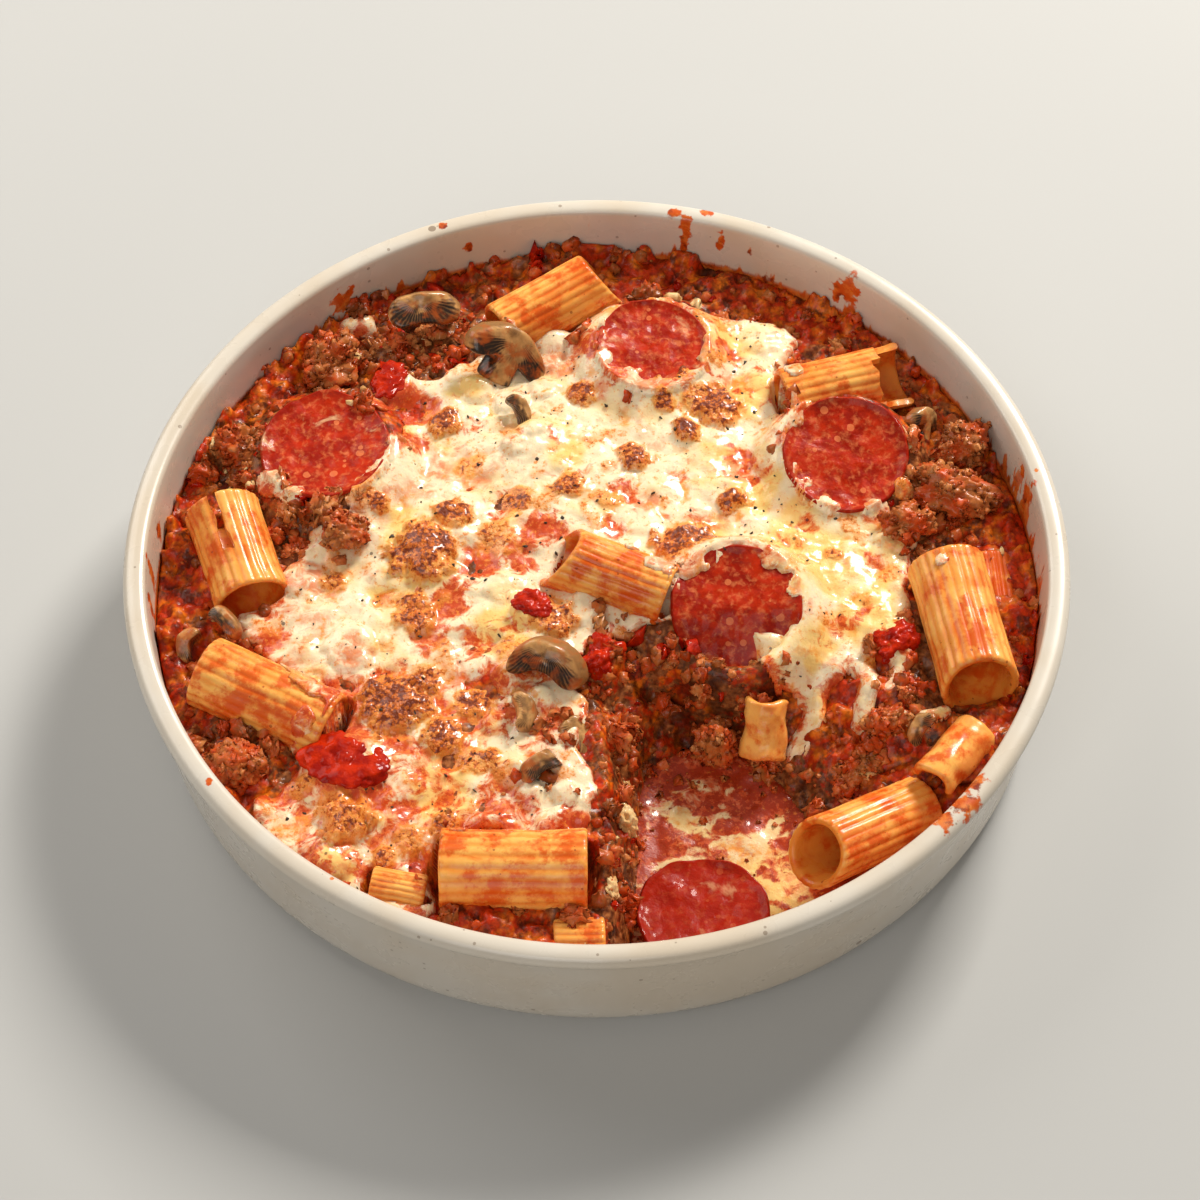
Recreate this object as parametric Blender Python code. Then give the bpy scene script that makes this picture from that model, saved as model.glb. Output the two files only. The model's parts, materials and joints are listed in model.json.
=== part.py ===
"""Baked rigatoni in a round stoneware dish, with one helping spooned out.

Everything is in metres.  The origin is the middle of the dish's base, +Z is
up, and the spooned-out hollow opens towards -Y.  Places of the pieces are
written in millimetres in the tables below and scaled once, by MM.
"""

import math
from dataclasses import dataclass

import bmesh
import bpy
from mathutils import Matrix, Vector, noise

MM = 0.001
GAP = 0.3 * MM
MARGIN = 0.5 * MM

# The dish, turned about Z.
DISH_RADIUS = 110.0 * MM
DISH_HEIGHT = 38.0 * MM
FLOOR_THICKNESS = 5.0 * MM
RIM_WIDTH = 5.2 * MM
COLLAR_HEIGHT = 3.6 * MM
COLLAR_OVERHANG = 1.8 * MM
FOOT_RADIUS = 98.0 * MM
FOOT_ROUNDING = 8.0 * MM
INNER_ROUNDING = 7.0 * MM
WALL_DRAFT = 0.055
DISH_SEGMENTS = 64

# The food in it.
EDGE_LEVEL = 24.0 * MM
MIDDLE_LEVEL = 27.0 * MM
WAVE_HEIGHT = 0.9 * MM
WAVE_LENGTH = 46.0 * MM
FOOD_SEGMENTS = 40
FILLING_CLEARANCE = 0.5 * MM
CHEESE_LIFT = 0.8 * MM
CHEESE_THICKNESS = 3.4 * MM
CHEESE_EDGE = 1.6 * MM
# Reach of the melted cheese from the middle, every 15 degrees from +X, in millimetres.
CHEESE_REACH = (74, 67, 56, 66, 86, 86, 81, 77, 72, 68, 60, 66, 79, 83, 74, 98, 100, 90, 72, 64, 60, 60, 66, 71)

# The hollow: matching corners of its floor and of its brim, in millimetres.
HOLLOW_FLOOR = (
    (7, -112), (8, -88), (10, -66), (10, -50), (13, -41), (21, -37),
    (32, -38), (41, -45), (48, -56), (56, -70), (70, -100),
)
HOLLOW_BRIM = (
    (0, -112), (1, -90), (3, -70), (2, -52), (-1, -32), (9, -18),
    (34, -17), (56, -26), (76, -38), (98, -50), (124, -66),
)
HOLLOW_FLOOR_HEIGHT = 5.0 * MM
HOLLOW_BRIM_HEIGHT = 27.0 * MM

# Rigatoni.
TUBE_RIDGES = 12
TUBE_RIDGE_DEPTH = 0.45 * MM
TUBE_WALL = 1.9 * MM

# Salami.
SALAMI_THICKNESS = 1.5 * MM
SALAMI_SEGMENTS = 16


@dataclass(frozen=True)
class Tube:
    """One piece of rigatoni: its two end centres and radius in millimetres.

    slant_a leans the cut at the first end: millimetres of length per
    millimetre towards +Z at that end.
    """

    name: str
    end_a: tuple
    end_b: tuple
    radius: float
    slant_a: float = 0.0
    torn: bool = False
    split: bool = False
    shard: bool = False


@dataclass(frozen=True)
class Slice:
    """One slice of salami: middle, radius, the way it faces, cupping and fold, in millimetres."""

    name: str
    middle: tuple
    radius: float
    facing: tuple
    cup: float = 1.4
    fold: float = 0.0


@dataclass(frozen=True)
class Mushroom:
    """One piece of mushroom: middle, cap width, thickness, facing and the way its cap points."""

    name: str
    middle: tuple
    width: float
    thickness: float
    facing: tuple
    cap_towards: tuple
    stem: float = 0.0


@dataclass(frozen=True)
class Lump:
    """A chunk of tomato, onion or mince: middle, three half sizes, turn about Z in degrees and seed."""

    name: str
    middle: tuple
    half: tuple
    turn: float
    seed: int
    roughness: float


RIGATONI = (
    Tube("rigatoni_01", (1.8, 91.0, 28.5), (-24.0, 74.5, 26.0), 8.0),
    Tube("rigatoni_02", (76.0, 60.2, 28.3), (45.5, 51.4, 28.0), 8.0, torn=True),
    Tube("rigatoni_03", (-89.6, 18.6, 27.5), (-80.8, -6.0, 24.5), 8.8, split=True),
    Tube("rigatoni_04", (-90.5, -27.0, 26.0), (-60.5, -41.5, 23.5), 8.7),
    Tube("rigatoni_05", (-9.6, 2.8, 30.6), (17.0, -7.9, 28.6), 7.8),
    Tube("rigatoni_06", (82.0, 1.6, 29.0), (88.3, -33.5, 27.0), 8.8),
    Tube("rigatoni_07", (48.8, -73.8, 22.5), (74.0, -56.5, 13.5), 7.9, slant_a=0.36),
    Tube("rigatoni_08", (-34.6, -79.4, 24.5), (-2.0, -79.6, 24.5), 9.3),
    Tube("rigatoni_09", (-9.5, -94.6, 18.2), (2.0, -94.4, 18.2), 6.3),
    Tube("rigatoni_10", (-9.0, -20.4, 16.0), (13.5, -19.4, 16.0), 6.8),
    Tube("rigatoni_11", (39.4, -31.5, 22.0), (38.4, -41.5, 12.0), 5.2, shard=True),
    Tube("rigatoni_12", (93.6, 9.0, 19.0), (94.6, -9.0, 17.5), 6.6),
    Tube("rigatoni_13", (87.2, -41.4, 23.0), (75.6, -55.8, 24.5), 5.4, shard=True),
    Tube("rigatoni_14", (-37.8, -84.6, 22.0), (-50.0, -82.4, 23.0), 4.8),
)

SALAMI = (
    Slice("salami_01", (-65.4, 34.6, 30.2), 15.9, (-0.03, -0.02, 1.0)),
    Slice("salami_02", (13.9, 66.4, 30.4), 14.2, (0.02, -0.06, 1.0)),
    Slice("salami_03", (59.7, 32.2, 31.0), 15.1, (0.05, -0.26, 1.0)),
    Slice("salami_04", (32.4, -12.3, 31.2), 15.3, (-0.05, -0.24, 1.0), cup=0.6, fold=3.0),
    Slice("salami_05", (24.0, -82.4, 8.4), 15.3, (-0.02, 0.07, 1.0), cup=0.9),
)

MUSHROOMS = (
    Mushroom("mushroom_01", (-43.5, 77.0, 30.4), 18.5, 6.0, (0.2, -0.65, 0.75), (-0.1, 0.6, 0.6), 0.0),
    Mushroom("mushroom_02", (-23.0, 62.2, 30.5), 21.0, 4.5, (0.3, -0.7, 0.7), (0.45, 0.7, 0.4), 7.0),
    Mushroom("mushroom_03", (-19.5, 47.0, 30.0), 9.0, 3.0, (0.1, -0.4, 0.9), (0.8, 0.4, 0.1), 5.0),
    Mushroom("mushroom_04", (-11.0, -29.0, 30.2), 18.0, 5.5, (-0.25, -0.75, 0.6), (0.25, 0.6, 0.75), 0.0),
    Mushroom("mushroom_05", (-17.5, -40.5, 28.6), 9.5, 6.5, (0.0, -0.3, 1.0), (1.0, 0.1, 0.0), 6.0),
    Mushroom("mushroom_06", (-12.5, -54.5, 28.2), 10.0, 4.5, (0.35, -0.45, 0.8), (-0.6, 0.8, 0.0), 9.0),
    Mushroom("mushroom_07", (-4.2, -44.0, 24.6), 11.0, 4.0, (0.6, -0.3, 0.75), (0.0, 1.0, 0.3), 5.0),
    Mushroom("mushroom_08", (-86.8, -15.2, 28.2), 9.2, 4.0, (-0.2, -0.5, 0.85), (-0.1, 0.9, 0.4), 4.0),
    Mushroom("mushroom_09", (-94.6, -19.0, 25.0), 8.0, 3.5, (-0.1, -0.4, 0.9), (-0.6, 0.8, 0.0), 3.0),
    Mushroom("mushroom_10", (79.5, 44.5, 28.0), 10.0, 3.0, (0.7, -0.4, 0.6), (0.1, 0.9, 0.4), 4.0),
    Mushroom("mushroom_11", (75.2, -40.6, 22.6), 8.5, 4.0, (-0.3, -0.7, 0.7), (-0.8, 0.3, 0.3), 4.0),
)

LUMPS = (
    Lump("tomato_01", (-57.0, -53.2, 27.6), (8.4, 7.4, 3.6), 20, 1, 0.18),
    Lump("tomato_02", (-14.5, -11.5, 30.4), (4.6, 3.4, 2.4), 0, 2, 0.15),
    Lump("tomato_03", (1.2, -24.0, 28.0), (3.6, 4.6, 3.2), -25, 3, 0.2),
    Lump("tomato_04", (69.2, -19.6, 27.4), (4.8, 3.6, 2.8), 30, 4, 0.2),
    Lump("tomato_05", (-50.6, 56.4, 29.4), (5.6, 4.0, 2.4), 60, 5, 0.2),
    Lump("onion_01", (2.2, -80.6, 18.8), (2.4, 4.0, 3.8), 15, 6, 0.05),
    Lump("onion_02", (6.0, -60.0, 14.0), (3.0, 4.8, 4.4), 25, 7, 0.08),
    Lump("mince_01", (89.0, 38.4, 28.2), (6.4, 5.4, 4.6), 30, 11, 0.3),
    Lump("mince_02", (85.0, 24.4, 27.6), (9.2, 5.6, 4.8), -20, 12, 0.3),
    Lump("mince_03", (73.8, 13.6, 28.4), (5.6, 4.6, 3.8), 10, 13, 0.3),
    Lump("mince_04", (-65.6, 64.6, 27.2), (7.8, 5.8, 4.6), 35, 14, 0.3),
    Lump("mince_05", (-86.6, 38.6, 26.4), (5.8, 5.0, 4.4), 0, 15, 0.3),
    Lump("mince_06", (-82.0, -52.6, 25.6), (5.4, 5.2, 4.2), 20, 16, 0.3),
    Lump("mince_07", (60.5, -46.0, 14.5), (6.6, 5.4, 5.0), 40, 17, 0.3),
    Lump("mince_08", (24.0, -22.0, 14.8), (7.4, 4.8, 5.6), 0, 18, 0.3),
    Lump("mince_09", (-60.0, 9.8, 31.0), (4.6, 4.8, 3.0), 0, 19, 0.3),
    Lump("mince_10", (27.6, -38.2, 12.6), (5.0, 4.4, 5.2), 0, 20, 0.3),
    Lump("mince_11", (66.8, -38.6, 22.0), (4.8, 4.4, 4.6), 15, 21, 0.3),
)


def clear_scene():
    """Remove what the scene holds."""
    for obj in list(bpy.data.objects):
        bpy.data.objects.remove(obj, do_unlink=True)


def make_material(name, colour, roughness, metallic=0.0):
    """Return a Principled material of one colour."""
    material = bpy.data.materials.new(name)
    material.use_nodes = True
    shader = material.node_tree.nodes["Principled BSDF"]
    shader.inputs["Base Color"].default_value = (*colour, 1.0)
    shader.inputs["Roughness"].default_value = roughness
    shader.inputs["Metallic"].default_value = metallic
    material.diffuse_color = (*colour, 1.0)
    return material


def add_object(name, bm, colour, roughness):
    """Turn bm into an object with its own material, faces out, and link it to the scene."""
    bmesh.ops.recalc_face_normals(bm, faces=bm.faces)
    mesh = bpy.data.meshes.new(name)
    bm.to_mesh(mesh)
    bm.free()
    obj = bpy.data.objects.new(name, mesh)
    bpy.context.scene.collection.objects.link(obj)
    mesh.materials.append(make_material(name + "_finish", colour, roughness))
    mesh.shade_smooth()
    mesh.set_sharp_from_angle(angle=math.radians(40))
    return obj


def smoothstep(value):
    """Ease value from 0 to 1."""
    value = min(max(value, 0.0), 1.0)
    return value * value * (3.0 - 2.0 * value)


# ---------------------------------------------------------------- surfaces

def inner_radius(height):
    """Return the radius of the dish's inside at a height above its base."""
    wall_top = DISH_RADIUS - RIM_WIDTH
    radius = wall_top - (DISH_HEIGHT - height) * WALL_DRAFT
    rise = height - FLOOR_THICKNESS
    if rise >= INNER_ROUNDING:
        return radius
    drop = INNER_ROUNDING - max(rise, 0.0)
    return radius - INNER_ROUNDING + math.sqrt(max(INNER_ROUNDING ** 2 - drop ** 2, 0.0))


def food_level(x, y):
    """Return the height of the filling's top, higher in the middle and gently uneven."""
    reach = math.hypot(x, y) / inner_radius(EDGE_LEVEL)
    level = MIDDLE_LEVEL + (EDGE_LEVEL - MIDDLE_LEVEL) * smoothstep(reach)
    turn = 2.0 * math.pi / WAVE_LENGTH
    waves = math.sin(turn * x + 0.7) * math.cos(turn * 0.8 * y - 0.4) + 0.5 * math.sin(turn * 1.5 * (x - y))
    return level + WAVE_HEIGHT * waves / 1.5


def cheese_reach(angle):
    """Return how far the cheese reaches at an angle, smoothly between the steps of CHEESE_REACH."""
    count = len(CHEESE_REACH)
    place = angle / (2.0 * math.pi) * count
    step = math.floor(place)
    before, start, end, after = (CHEESE_REACH[(step + k) % count] for k in (-1, 0, 1, 2))
    t = place - step
    bend = (2 * before - 5 * start + 4 * end - after) * t * t + (3 * (start - end) + after - before) * t ** 3
    return (start + 0.5 * ((end - before) * t + bend)) * MM


def turned_solid(name, rings, bottom, top, segments, colour, roughness):
    """Make a closed solid about Z from rings, each a function of angle giving radius and height."""
    bm = bmesh.new()
    angles = [2.0 * math.pi * k / segments for k in range(segments)]
    loops = []
    for ring in rings:
        loop = []
        for angle in angles:
            radius, height = ring(angle)
            loop.append(bm.verts.new((radius * math.cos(angle), radius * math.sin(angle), height)))
        loops.append(loop)
    lower = bm.verts.new((0.0, 0.0, bottom))
    upper = bm.verts.new((0.0, 0.0, top))
    for k in range(segments):
        following = (k + 1) % segments
        bm.faces.new((lower, loops[0][following], loops[0][k]))
        bm.faces.new((upper, loops[-1][k], loops[-1][following]))
        for below, above in zip(loops, loops[1:]):
            bm.faces.new((below[k], below[following], above[following], above[k]))
    return add_object(name, bm, colour, roughness)


# -------------------------------------------------------------------- dish

def dish_profile():
    """Return the dish's half outline as (radius, height), from under the base, over the rim, to the floor."""
    wall_outside = DISH_RADIUS - COLLAR_OVERHANG
    collar_foot = DISH_HEIGHT - COLLAR_HEIGHT
    points = [(FOOT_RADIUS, 0.0)]
    for step in (1, 2, 3):
        angle = math.radians(30 * step)
        points.append((FOOT_RADIUS + FOOT_ROUNDING * math.sin(angle), FOOT_ROUNDING * (1.0 - math.cos(angle))))
    points.append((wall_outside, collar_foot - 1.0 * MM))
    points.append((DISH_RADIUS - 0.5 * MM, collar_foot + 0.3 * MM))
    points.append((DISH_RADIUS, collar_foot + 1.5 * MM))
    points.append((DISH_RADIUS - 0.4 * MM, DISH_HEIGHT - 0.9 * MM))
    points.append((DISH_RADIUS - 1.6 * MM, DISH_HEIGHT))
    points.append((DISH_RADIUS - RIM_WIDTH + 1.2 * MM, DISH_HEIGHT - 0.1 * MM))
    points.append((DISH_RADIUS - RIM_WIDTH, DISH_HEIGHT - 1.0 * MM))
    for height in (FLOOR_THICKNESS + INNER_ROUNDING, FLOOR_THICKNESS + 0.4 * INNER_ROUNDING,
                   FLOOR_THICKNESS + 0.12 * INNER_ROUNDING, FLOOR_THICKNESS):
        points.append((inner_radius(height), height))
    return points


def make_dish():
    """Make the round stoneware dish."""
    rings = [lambda angle, point=point: point for point in dish_profile()]
    return turned_solid("dish", rings, 0.0, FLOOR_THICKNESS, DISH_SEGMENTS, (0.80, 0.72, 0.60), 0.35)


# ------------------------------------------------------- filling and cheese

def make_filling():
    """Make the bed of pasta, mince and sauce as it was before a helping was taken."""
    def wall_ring(height):
        return lambda angle: (inner_radius(height) - FILLING_CLEARANCE, height + GAP)

    def edge_ring(angle):
        radius = inner_radius(EDGE_LEVEL) - FILLING_CLEARANCE
        return radius, food_level(radius * math.cos(angle), radius * math.sin(angle))

    def top_ring(share):
        def ring(angle):
            radius = share * (inner_radius(EDGE_LEVEL) - FILLING_CLEARANCE)
            return radius, food_level(radius * math.cos(angle), radius * math.sin(angle))
        return ring

    heights = (0.0, 0.12, 0.4, 1.0)
    rings = [wall_ring(FLOOR_THICKNESS + share * INNER_ROUNDING) for share in heights]
    rings.append(edge_ring)
    rings.extend(top_ring(share) for share in (0.9, 0.79, 0.68, 0.56, 0.44, 0.31, 0.17))
    return turned_solid("filling", rings, FLOOR_THICKNESS + GAP, food_level(0.0, 0.0), FOOD_SEGMENTS,
                        (0.38, 0.13, 0.06), 0.45)


def make_cheese():
    """Make the melted cheese as one slab over the filling."""
    def ring(share, lift):
        def place(angle):
            radius = share * cheese_reach(angle)
            return radius, food_level(radius * math.cos(angle), radius * math.sin(angle)) + lift
        return place

    shares = (0.17, 0.34, 0.5, 0.66, 0.82, 1.0)
    rings = [ring(share, CHEESE_LIFT) for share in shares]
    for share in reversed(shares):
        thin = smoothstep((1.0 - share) / 0.3)
        rings.append(ring(min(share, 0.985), CHEESE_LIFT + CHEESE_EDGE + (CHEESE_THICKNESS - CHEESE_EDGE) * thin))
    level = food_level(0.0, 0.0) + CHEESE_LIFT
    return turned_solid("cheese", rings, level, level + CHEESE_THICKNESS, FOOD_SEGMENTS, (0.88, 0.72, 0.40), 0.35)


def make_hollow(name, margin):
    """Make the shape that the helping left, wider by margin, as a cutter."""
    bm = bmesh.new()
    climb = HOLLOW_BRIM_HEIGHT - HOLLOW_FLOOR_HEIGHT
    loops = []
    middle = Vector((32.0 * MM, -70.0 * MM))
    for height in (HOLLOW_FLOOR_HEIGHT - 2.0 * MM, DISH_HEIGHT + 6.0 * MM):
        share = max((height - HOLLOW_FLOOR_HEIGHT) / climb, 0.0)
        loop = []
        for floor, brim in zip(HOLLOW_FLOOR, HOLLOW_BRIM):
            point = Vector(floor).lerp(Vector(brim), share) * MM
            point += (point - middle).normalized() * margin
            loop.append(bm.verts.new((point.x, point.y, height)))
        loops.append(loop)
    count = len(HOLLOW_FLOOR)
    for k in range(count):
        following = (k + 1) % count
        bm.faces.new((loops[0][k], loops[0][following], loops[1][following], loops[1][k]))
    bm.faces.new(loops[0])
    bm.faces.new(loops[1])
    bmesh.ops.triangulate(bm, faces=[face for face in bm.faces if len(face.verts) == 4])
    return as_cutter(add_object(name, bm, (1.0, 0.0, 1.0), 0.5))


# ------------------------------------------------------------------ pieces

def frame_towards(axis, middle, up_hint=(0.0, 0.0, 1.0)):
    """Return the matrix that lays local +Z along axis, local +X near up_hint, and stands at middle."""
    along = Vector(axis).normalized()
    across = Vector(up_hint) - along * Vector(up_hint).dot(along)
    if across.length < 0.01:
        across = along.orthogonal()
    across.normalize()
    side = along.cross(across)
    turned = Matrix((across, side, along)).transposed().to_4x4()
    turned.translation = Vector(middle) * MM
    return turned


def tube_frame(tube):
    """Return the tube's matrix, with local +Z from its first end to its second and +X upwards, and its length."""
    start = Vector(tube.end_a)
    run = Vector(tube.end_b) - start
    return frame_towards(run, start), run.length * MM


def tube_section(radius, ridges):
    """Return the ridged outline and the plain bore of a tube, as lists of points on matching angles."""
    outer = []
    bore = []
    count = ridges * 2
    for k in range(count):
        angle = 2.0 * math.pi * k / count
        reach = radius - (TUBE_RIDGE_DEPTH if k % 2 else 0.0)
        outer.append((reach * math.cos(angle), reach * math.sin(angle)))
        if k % 2 == 0:
            inside = radius - TUBE_WALL
            bore.append((inside * math.cos(angle), inside * math.sin(angle)))
    return outer, bore


def make_tube(tube):
    """Make one hollow, ridged piece of rigatoni."""
    frame, length = tube_frame(tube)
    outer, bore = tube_section(tube.radius * MM, TUBE_RIDGES)
    bm = bmesh.new()

    def end_loop(section, at_end):
        loop = []
        for x, y in section:
            z = length if at_end else tube.slant_a * x
            loop.append(bm.verts.new(frame @ Vector((x, y, z))))
        return loop

    outer_loops = end_loop(outer, False), end_loop(outer, True)
    bore_loops = end_loop(bore, False), end_loop(bore, True)
    count = len(outer)
    for k in range(count):
        following = (k + 1) % count
        bm.faces.new((outer_loops[0][k], outer_loops[0][following], outer_loops[1][following], outer_loops[1][k]))
    for k in range(TUBE_RIDGES):
        following = (k + 1) % TUBE_RIDGES
        bm.faces.new((bore_loops[0][k], bore_loops[1][k], bore_loops[1][following], bore_loops[0][following]))
        first, middle, last = 2 * k, 2 * k + 1, (2 * k + 2) % count
        for end in (0, 1):
            out, inside = outer_loops[end], bore_loops[end]
            bm.faces.new((out[first], out[middle], inside[k]))
            bm.faces.new((out[middle], out[last], inside[following], inside[k]))
    obj = add_object(tube.name, bm, (0.86, 0.50, 0.18), 0.4)
    if tube.torn:
        cut_tear(obj, frame, tube.radius * MM)
    if tube.split:
        cut_split(obj, frame, tube.radius * MM, length)
    if tube.shard:
        cut_shard(obj, frame, tube.radius * MM, length)
    return obj


def make_block(name, corner, opposite, frame):
    """Make a box cutter between two corners in a frame."""
    bm = bmesh.new()
    bmesh.ops.create_cube(bm, size=1.0)
    low, high = Vector(corner), Vector(opposite)
    for vert in bm.verts:
        share = vert.co + Vector((0.5, 0.5, 0.5))
        vert.co = frame @ Vector(low[i] + (high[i] - low[i]) * share[i] for i in range(3))
    return as_cutter(add_object(name, bm, (1.0, 0.0, 1.0), 0.5))


def cut_tear(obj, frame, radius):
    """Tear the near upper quarter of the wall away over the tube's first 11 mm."""
    block = make_block("tear_cutter", (-0.1 * radius, -2.0 * radius, -2.0 * MM),
                       (2.0 * radius, 0.15 * radius, 11.0 * MM), frame)
    cut(obj, block)


def cut_split(obj, frame, radius, length):
    """Split the wall open lengthwise on the side that faces the dish's wall."""
    block = make_block("split_cutter", (0.05 * radius, -2.0 * radius, -2.0 * MM),
                       (0.75 * radius, -0.2 * radius, 0.62 * length), frame)
    cut(obj, block)


def cut_shard(obj, frame, radius, length):
    """Leave only the upper part of the tube's wall."""
    block = make_block("shard_cutter", (-2.0 * radius, -2.0 * radius, -2.0 * MM),
                       (0.1 * radius, 2.0 * radius, length + 2.0 * MM), frame)
    cut(obj, block)


def make_slice(piece):
    """Make one thin, cupped slice of salami."""
    bm = bmesh.new()
    frame = frame_towards(piece.facing, piece.middle, (0.0, 1.0, 0.0))
    radius = piece.radius * MM
    shares = (0.6, 1.0)

    def surface(share, angle, lift):
        x = share * radius * math.cos(angle)
        y = share * radius * math.sin(angle)
        height = piece.cup * MM * share ** 3
        height -= piece.fold * MM * smoothstep(-x / radius) * 2.0
        return frame @ Vector((x, y, height + lift))

    angles = [2.0 * math.pi * k / SALAMI_SEGMENTS for k in range(SALAMI_SEGMENTS)]
    loops = [[bm.verts.new(surface(share, angle, 0.0)) for angle in angles] for share in shares]
    loops += [[bm.verts.new(surface(share, angle, SALAMI_THICKNESS)) for angle in angles]
              for share in reversed(shares)]
    under = bm.verts.new(surface(0.0, 0.0, 0.0))
    over = bm.verts.new(surface(0.0, 0.0, SALAMI_THICKNESS))
    for k in range(SALAMI_SEGMENTS):
        following = (k + 1) % SALAMI_SEGMENTS
        bm.faces.new((under, loops[0][following], loops[0][k]))
        bm.faces.new((over, loops[-1][k], loops[-1][following]))
        for below, above in zip(loops, loops[1:]):
            bm.faces.new((below[k], below[following], above[following], above[k]))
    return add_object(piece.name, bm, (0.50, 0.08, 0.06), 0.35)


def mushroom_outline(width, stem):
    """Return the outline of a mushroom slice: a domed cap over its curled edge and, if wanted, a stem."""
    half = 0.5 * width * MM
    points = []
    for step in range(9):
        angle = math.pi * step / 8
        points.append((half * math.cos(angle), 0.72 * half * math.sin(angle)))
    if stem:
        stalk = 0.3 * half
        reach = stem * MM
        points += [(-0.75 * half, -0.28 * half), (-stalk, -0.1 * half), (-1.15 * stalk, -reach),
                   (1.15 * stalk, -reach), (stalk, -0.1 * half), (0.75 * half, -0.28 * half)]
    else:
        points += [(-0.7 * half, -0.36 * half), (0.0, -0.2 * half), (0.7 * half, -0.36 * half)]
    return points


def make_mushroom(piece):
    """Make one slice of mushroom, a little bowed, with its thickness along its facing."""
    bm = bmesh.new()
    frame = frame_towards(piece.facing, piece.middle, piece.cap_towards)
    outline = mushroom_outline(piece.width, piece.stem)
    half = 0.5 * piece.width * MM
    thick = 0.5 * piece.thickness * MM
    loops = []
    for side in (-1.0, 1.0):
        loop = []
        for across, along in outline:
            bow = 0.12 * half * (across / half) ** 2
            loop.append(bm.verts.new(frame @ Vector((along, across, side * thick - bow))))
        loops.append(loop)
    count = len(outline)
    for k in range(count):
        following = (k + 1) % count
        bm.faces.new((loops[0][k], loops[0][following], loops[1][following], loops[1][k]))
    for loop in loops:
        centre = bm.verts.new(sum((vert.co for vert in loop), Vector()) / count)
        for k in range(count):
            bm.faces.new((loop[k], loop[(k + 1) % count], centre))
    return add_object(piece.name, bm, (0.40, 0.30, 0.20), 0.45)


# An icosahedron this much larger than a sphere holds it.
LUMP_CLEARING = 1.26
LUMP_COLOURS = {"tomato": (0.62, 0.05, 0.03), "onion": (0.72, 0.55, 0.36), "mince": (0.27, 0.12, 0.07)}


def make_lump(piece):
    """Make one rough chunk."""
    bm = bmesh.new()
    bmesh.ops.create_icosphere(bm, subdivisions=2, radius=1.0)
    turn = Matrix.Rotation(math.radians(piece.turn), 4, "Z")
    offset = Vector((piece.seed * 3.7, piece.seed * 1.3, 0.0))
    for vert in bm.verts:
        swell = 1.0 + piece.roughness * noise.noise(vert.co * 1.6 + offset)
        local = Vector(vert.co[i] * piece.half[i] for i in range(3)) * swell
        vert.co = (turn @ local + Vector(piece.middle)) * MM
    colour = LUMP_COLOURS[piece.name.split("_")[0]]
    return add_object(piece.name, bm, colour, 0.5)


# ----------------------------------------------------------------- cutting

def as_cutter(obj):
    """Mark an object as a cutter, which is no part of the model."""
    obj.hide_render = True
    obj.display_type = "WIRE"
    return obj


def evaluated_bmesh(obj):
    """Return obj's mesh with its modifiers applied, as a bmesh in world space."""
    bpy.context.view_layer.update()
    graph = bpy.context.evaluated_depsgraph_get()
    mesh = bpy.data.meshes.new_from_object(obj.evaluated_get(graph))
    mesh.transform(obj.matrix_world)
    bm = bmesh.new()
    bm.from_mesh(mesh)
    bpy.data.meshes.remove(mesh)
    return bm


def cut(obj, cutter):
    """Cut cutter out of obj, keep the largest piece that is left, and remove the cutter."""
    modifier = obj.modifiers.new("cut", "BOOLEAN")
    modifier.operation = "DIFFERENCE"
    modifier.object = cutter
    bm = evaluated_bmesh(obj)
    obj.modifiers.remove(modifier)
    keep_largest(bm)
    bm.to_mesh(obj.data)
    bm.free()
    bpy.data.objects.remove(cutter, do_unlink=True)


def keep_largest(bm):
    """Delete all but the connected part of bm with the most volume."""
    left = set(bm.verts)
    parts = []
    while left:
        stack = [left.pop()]
        part = set(stack)
        while stack:
            for edge in stack.pop().link_edges:
                for vert in edge.verts:
                    if vert in left:
                        left.remove(vert)
                        part.add(vert)
                        stack.append(vert)
        parts.append(part)
    parts.sort(key=spread, reverse=True)
    stray = [vert for part in parts[1:] for vert in part]
    bmesh.ops.delete(bm, geom=stray, context="VERTS")


def spread(part):
    """Return the volume of the box round a set of vertices."""
    spans = []
    for i in range(3):
        values = [vert.co[i] for vert in part]
        spans.append(max(values) - min(values) + MM)
    return spans[0] * spans[1] * spans[2]


def hull_cutter(obj, margin):
    """Return a cutter that is obj's convex hull, wider by margin."""
    bm = bmesh.new()
    bm.from_mesh(obj.data)
    hull = bmesh.ops.convex_hull(bm, input=bm.verts)
    loose = [item for item in hull["geom_interior"] + hull["geom_unused"] if isinstance(item, bmesh.types.BMVert)]
    bmesh.ops.delete(bm, geom=list(set(loose)), context="VERTS")
    bm.faces.ensure_lookup_table()
    kept = {item for item in hull["geom"] if isinstance(item, bmesh.types.BMFace) and item.is_valid}
    stray = [face for face in bm.faces if face not in kept]
    bmesh.ops.delete(bm, geom=stray, context="FACES")
    bmesh.ops.recalc_face_normals(bm, faces=bm.faces)
    bm.normal_update()
    for vert, place in [(vert, vert.co + vert.normal * margin) for vert in bm.verts]:
        vert.co = place
    return as_cutter(add_object(obj.name + "_cutter", bm, (1.0, 0.0, 1.0), 0.5))


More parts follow.
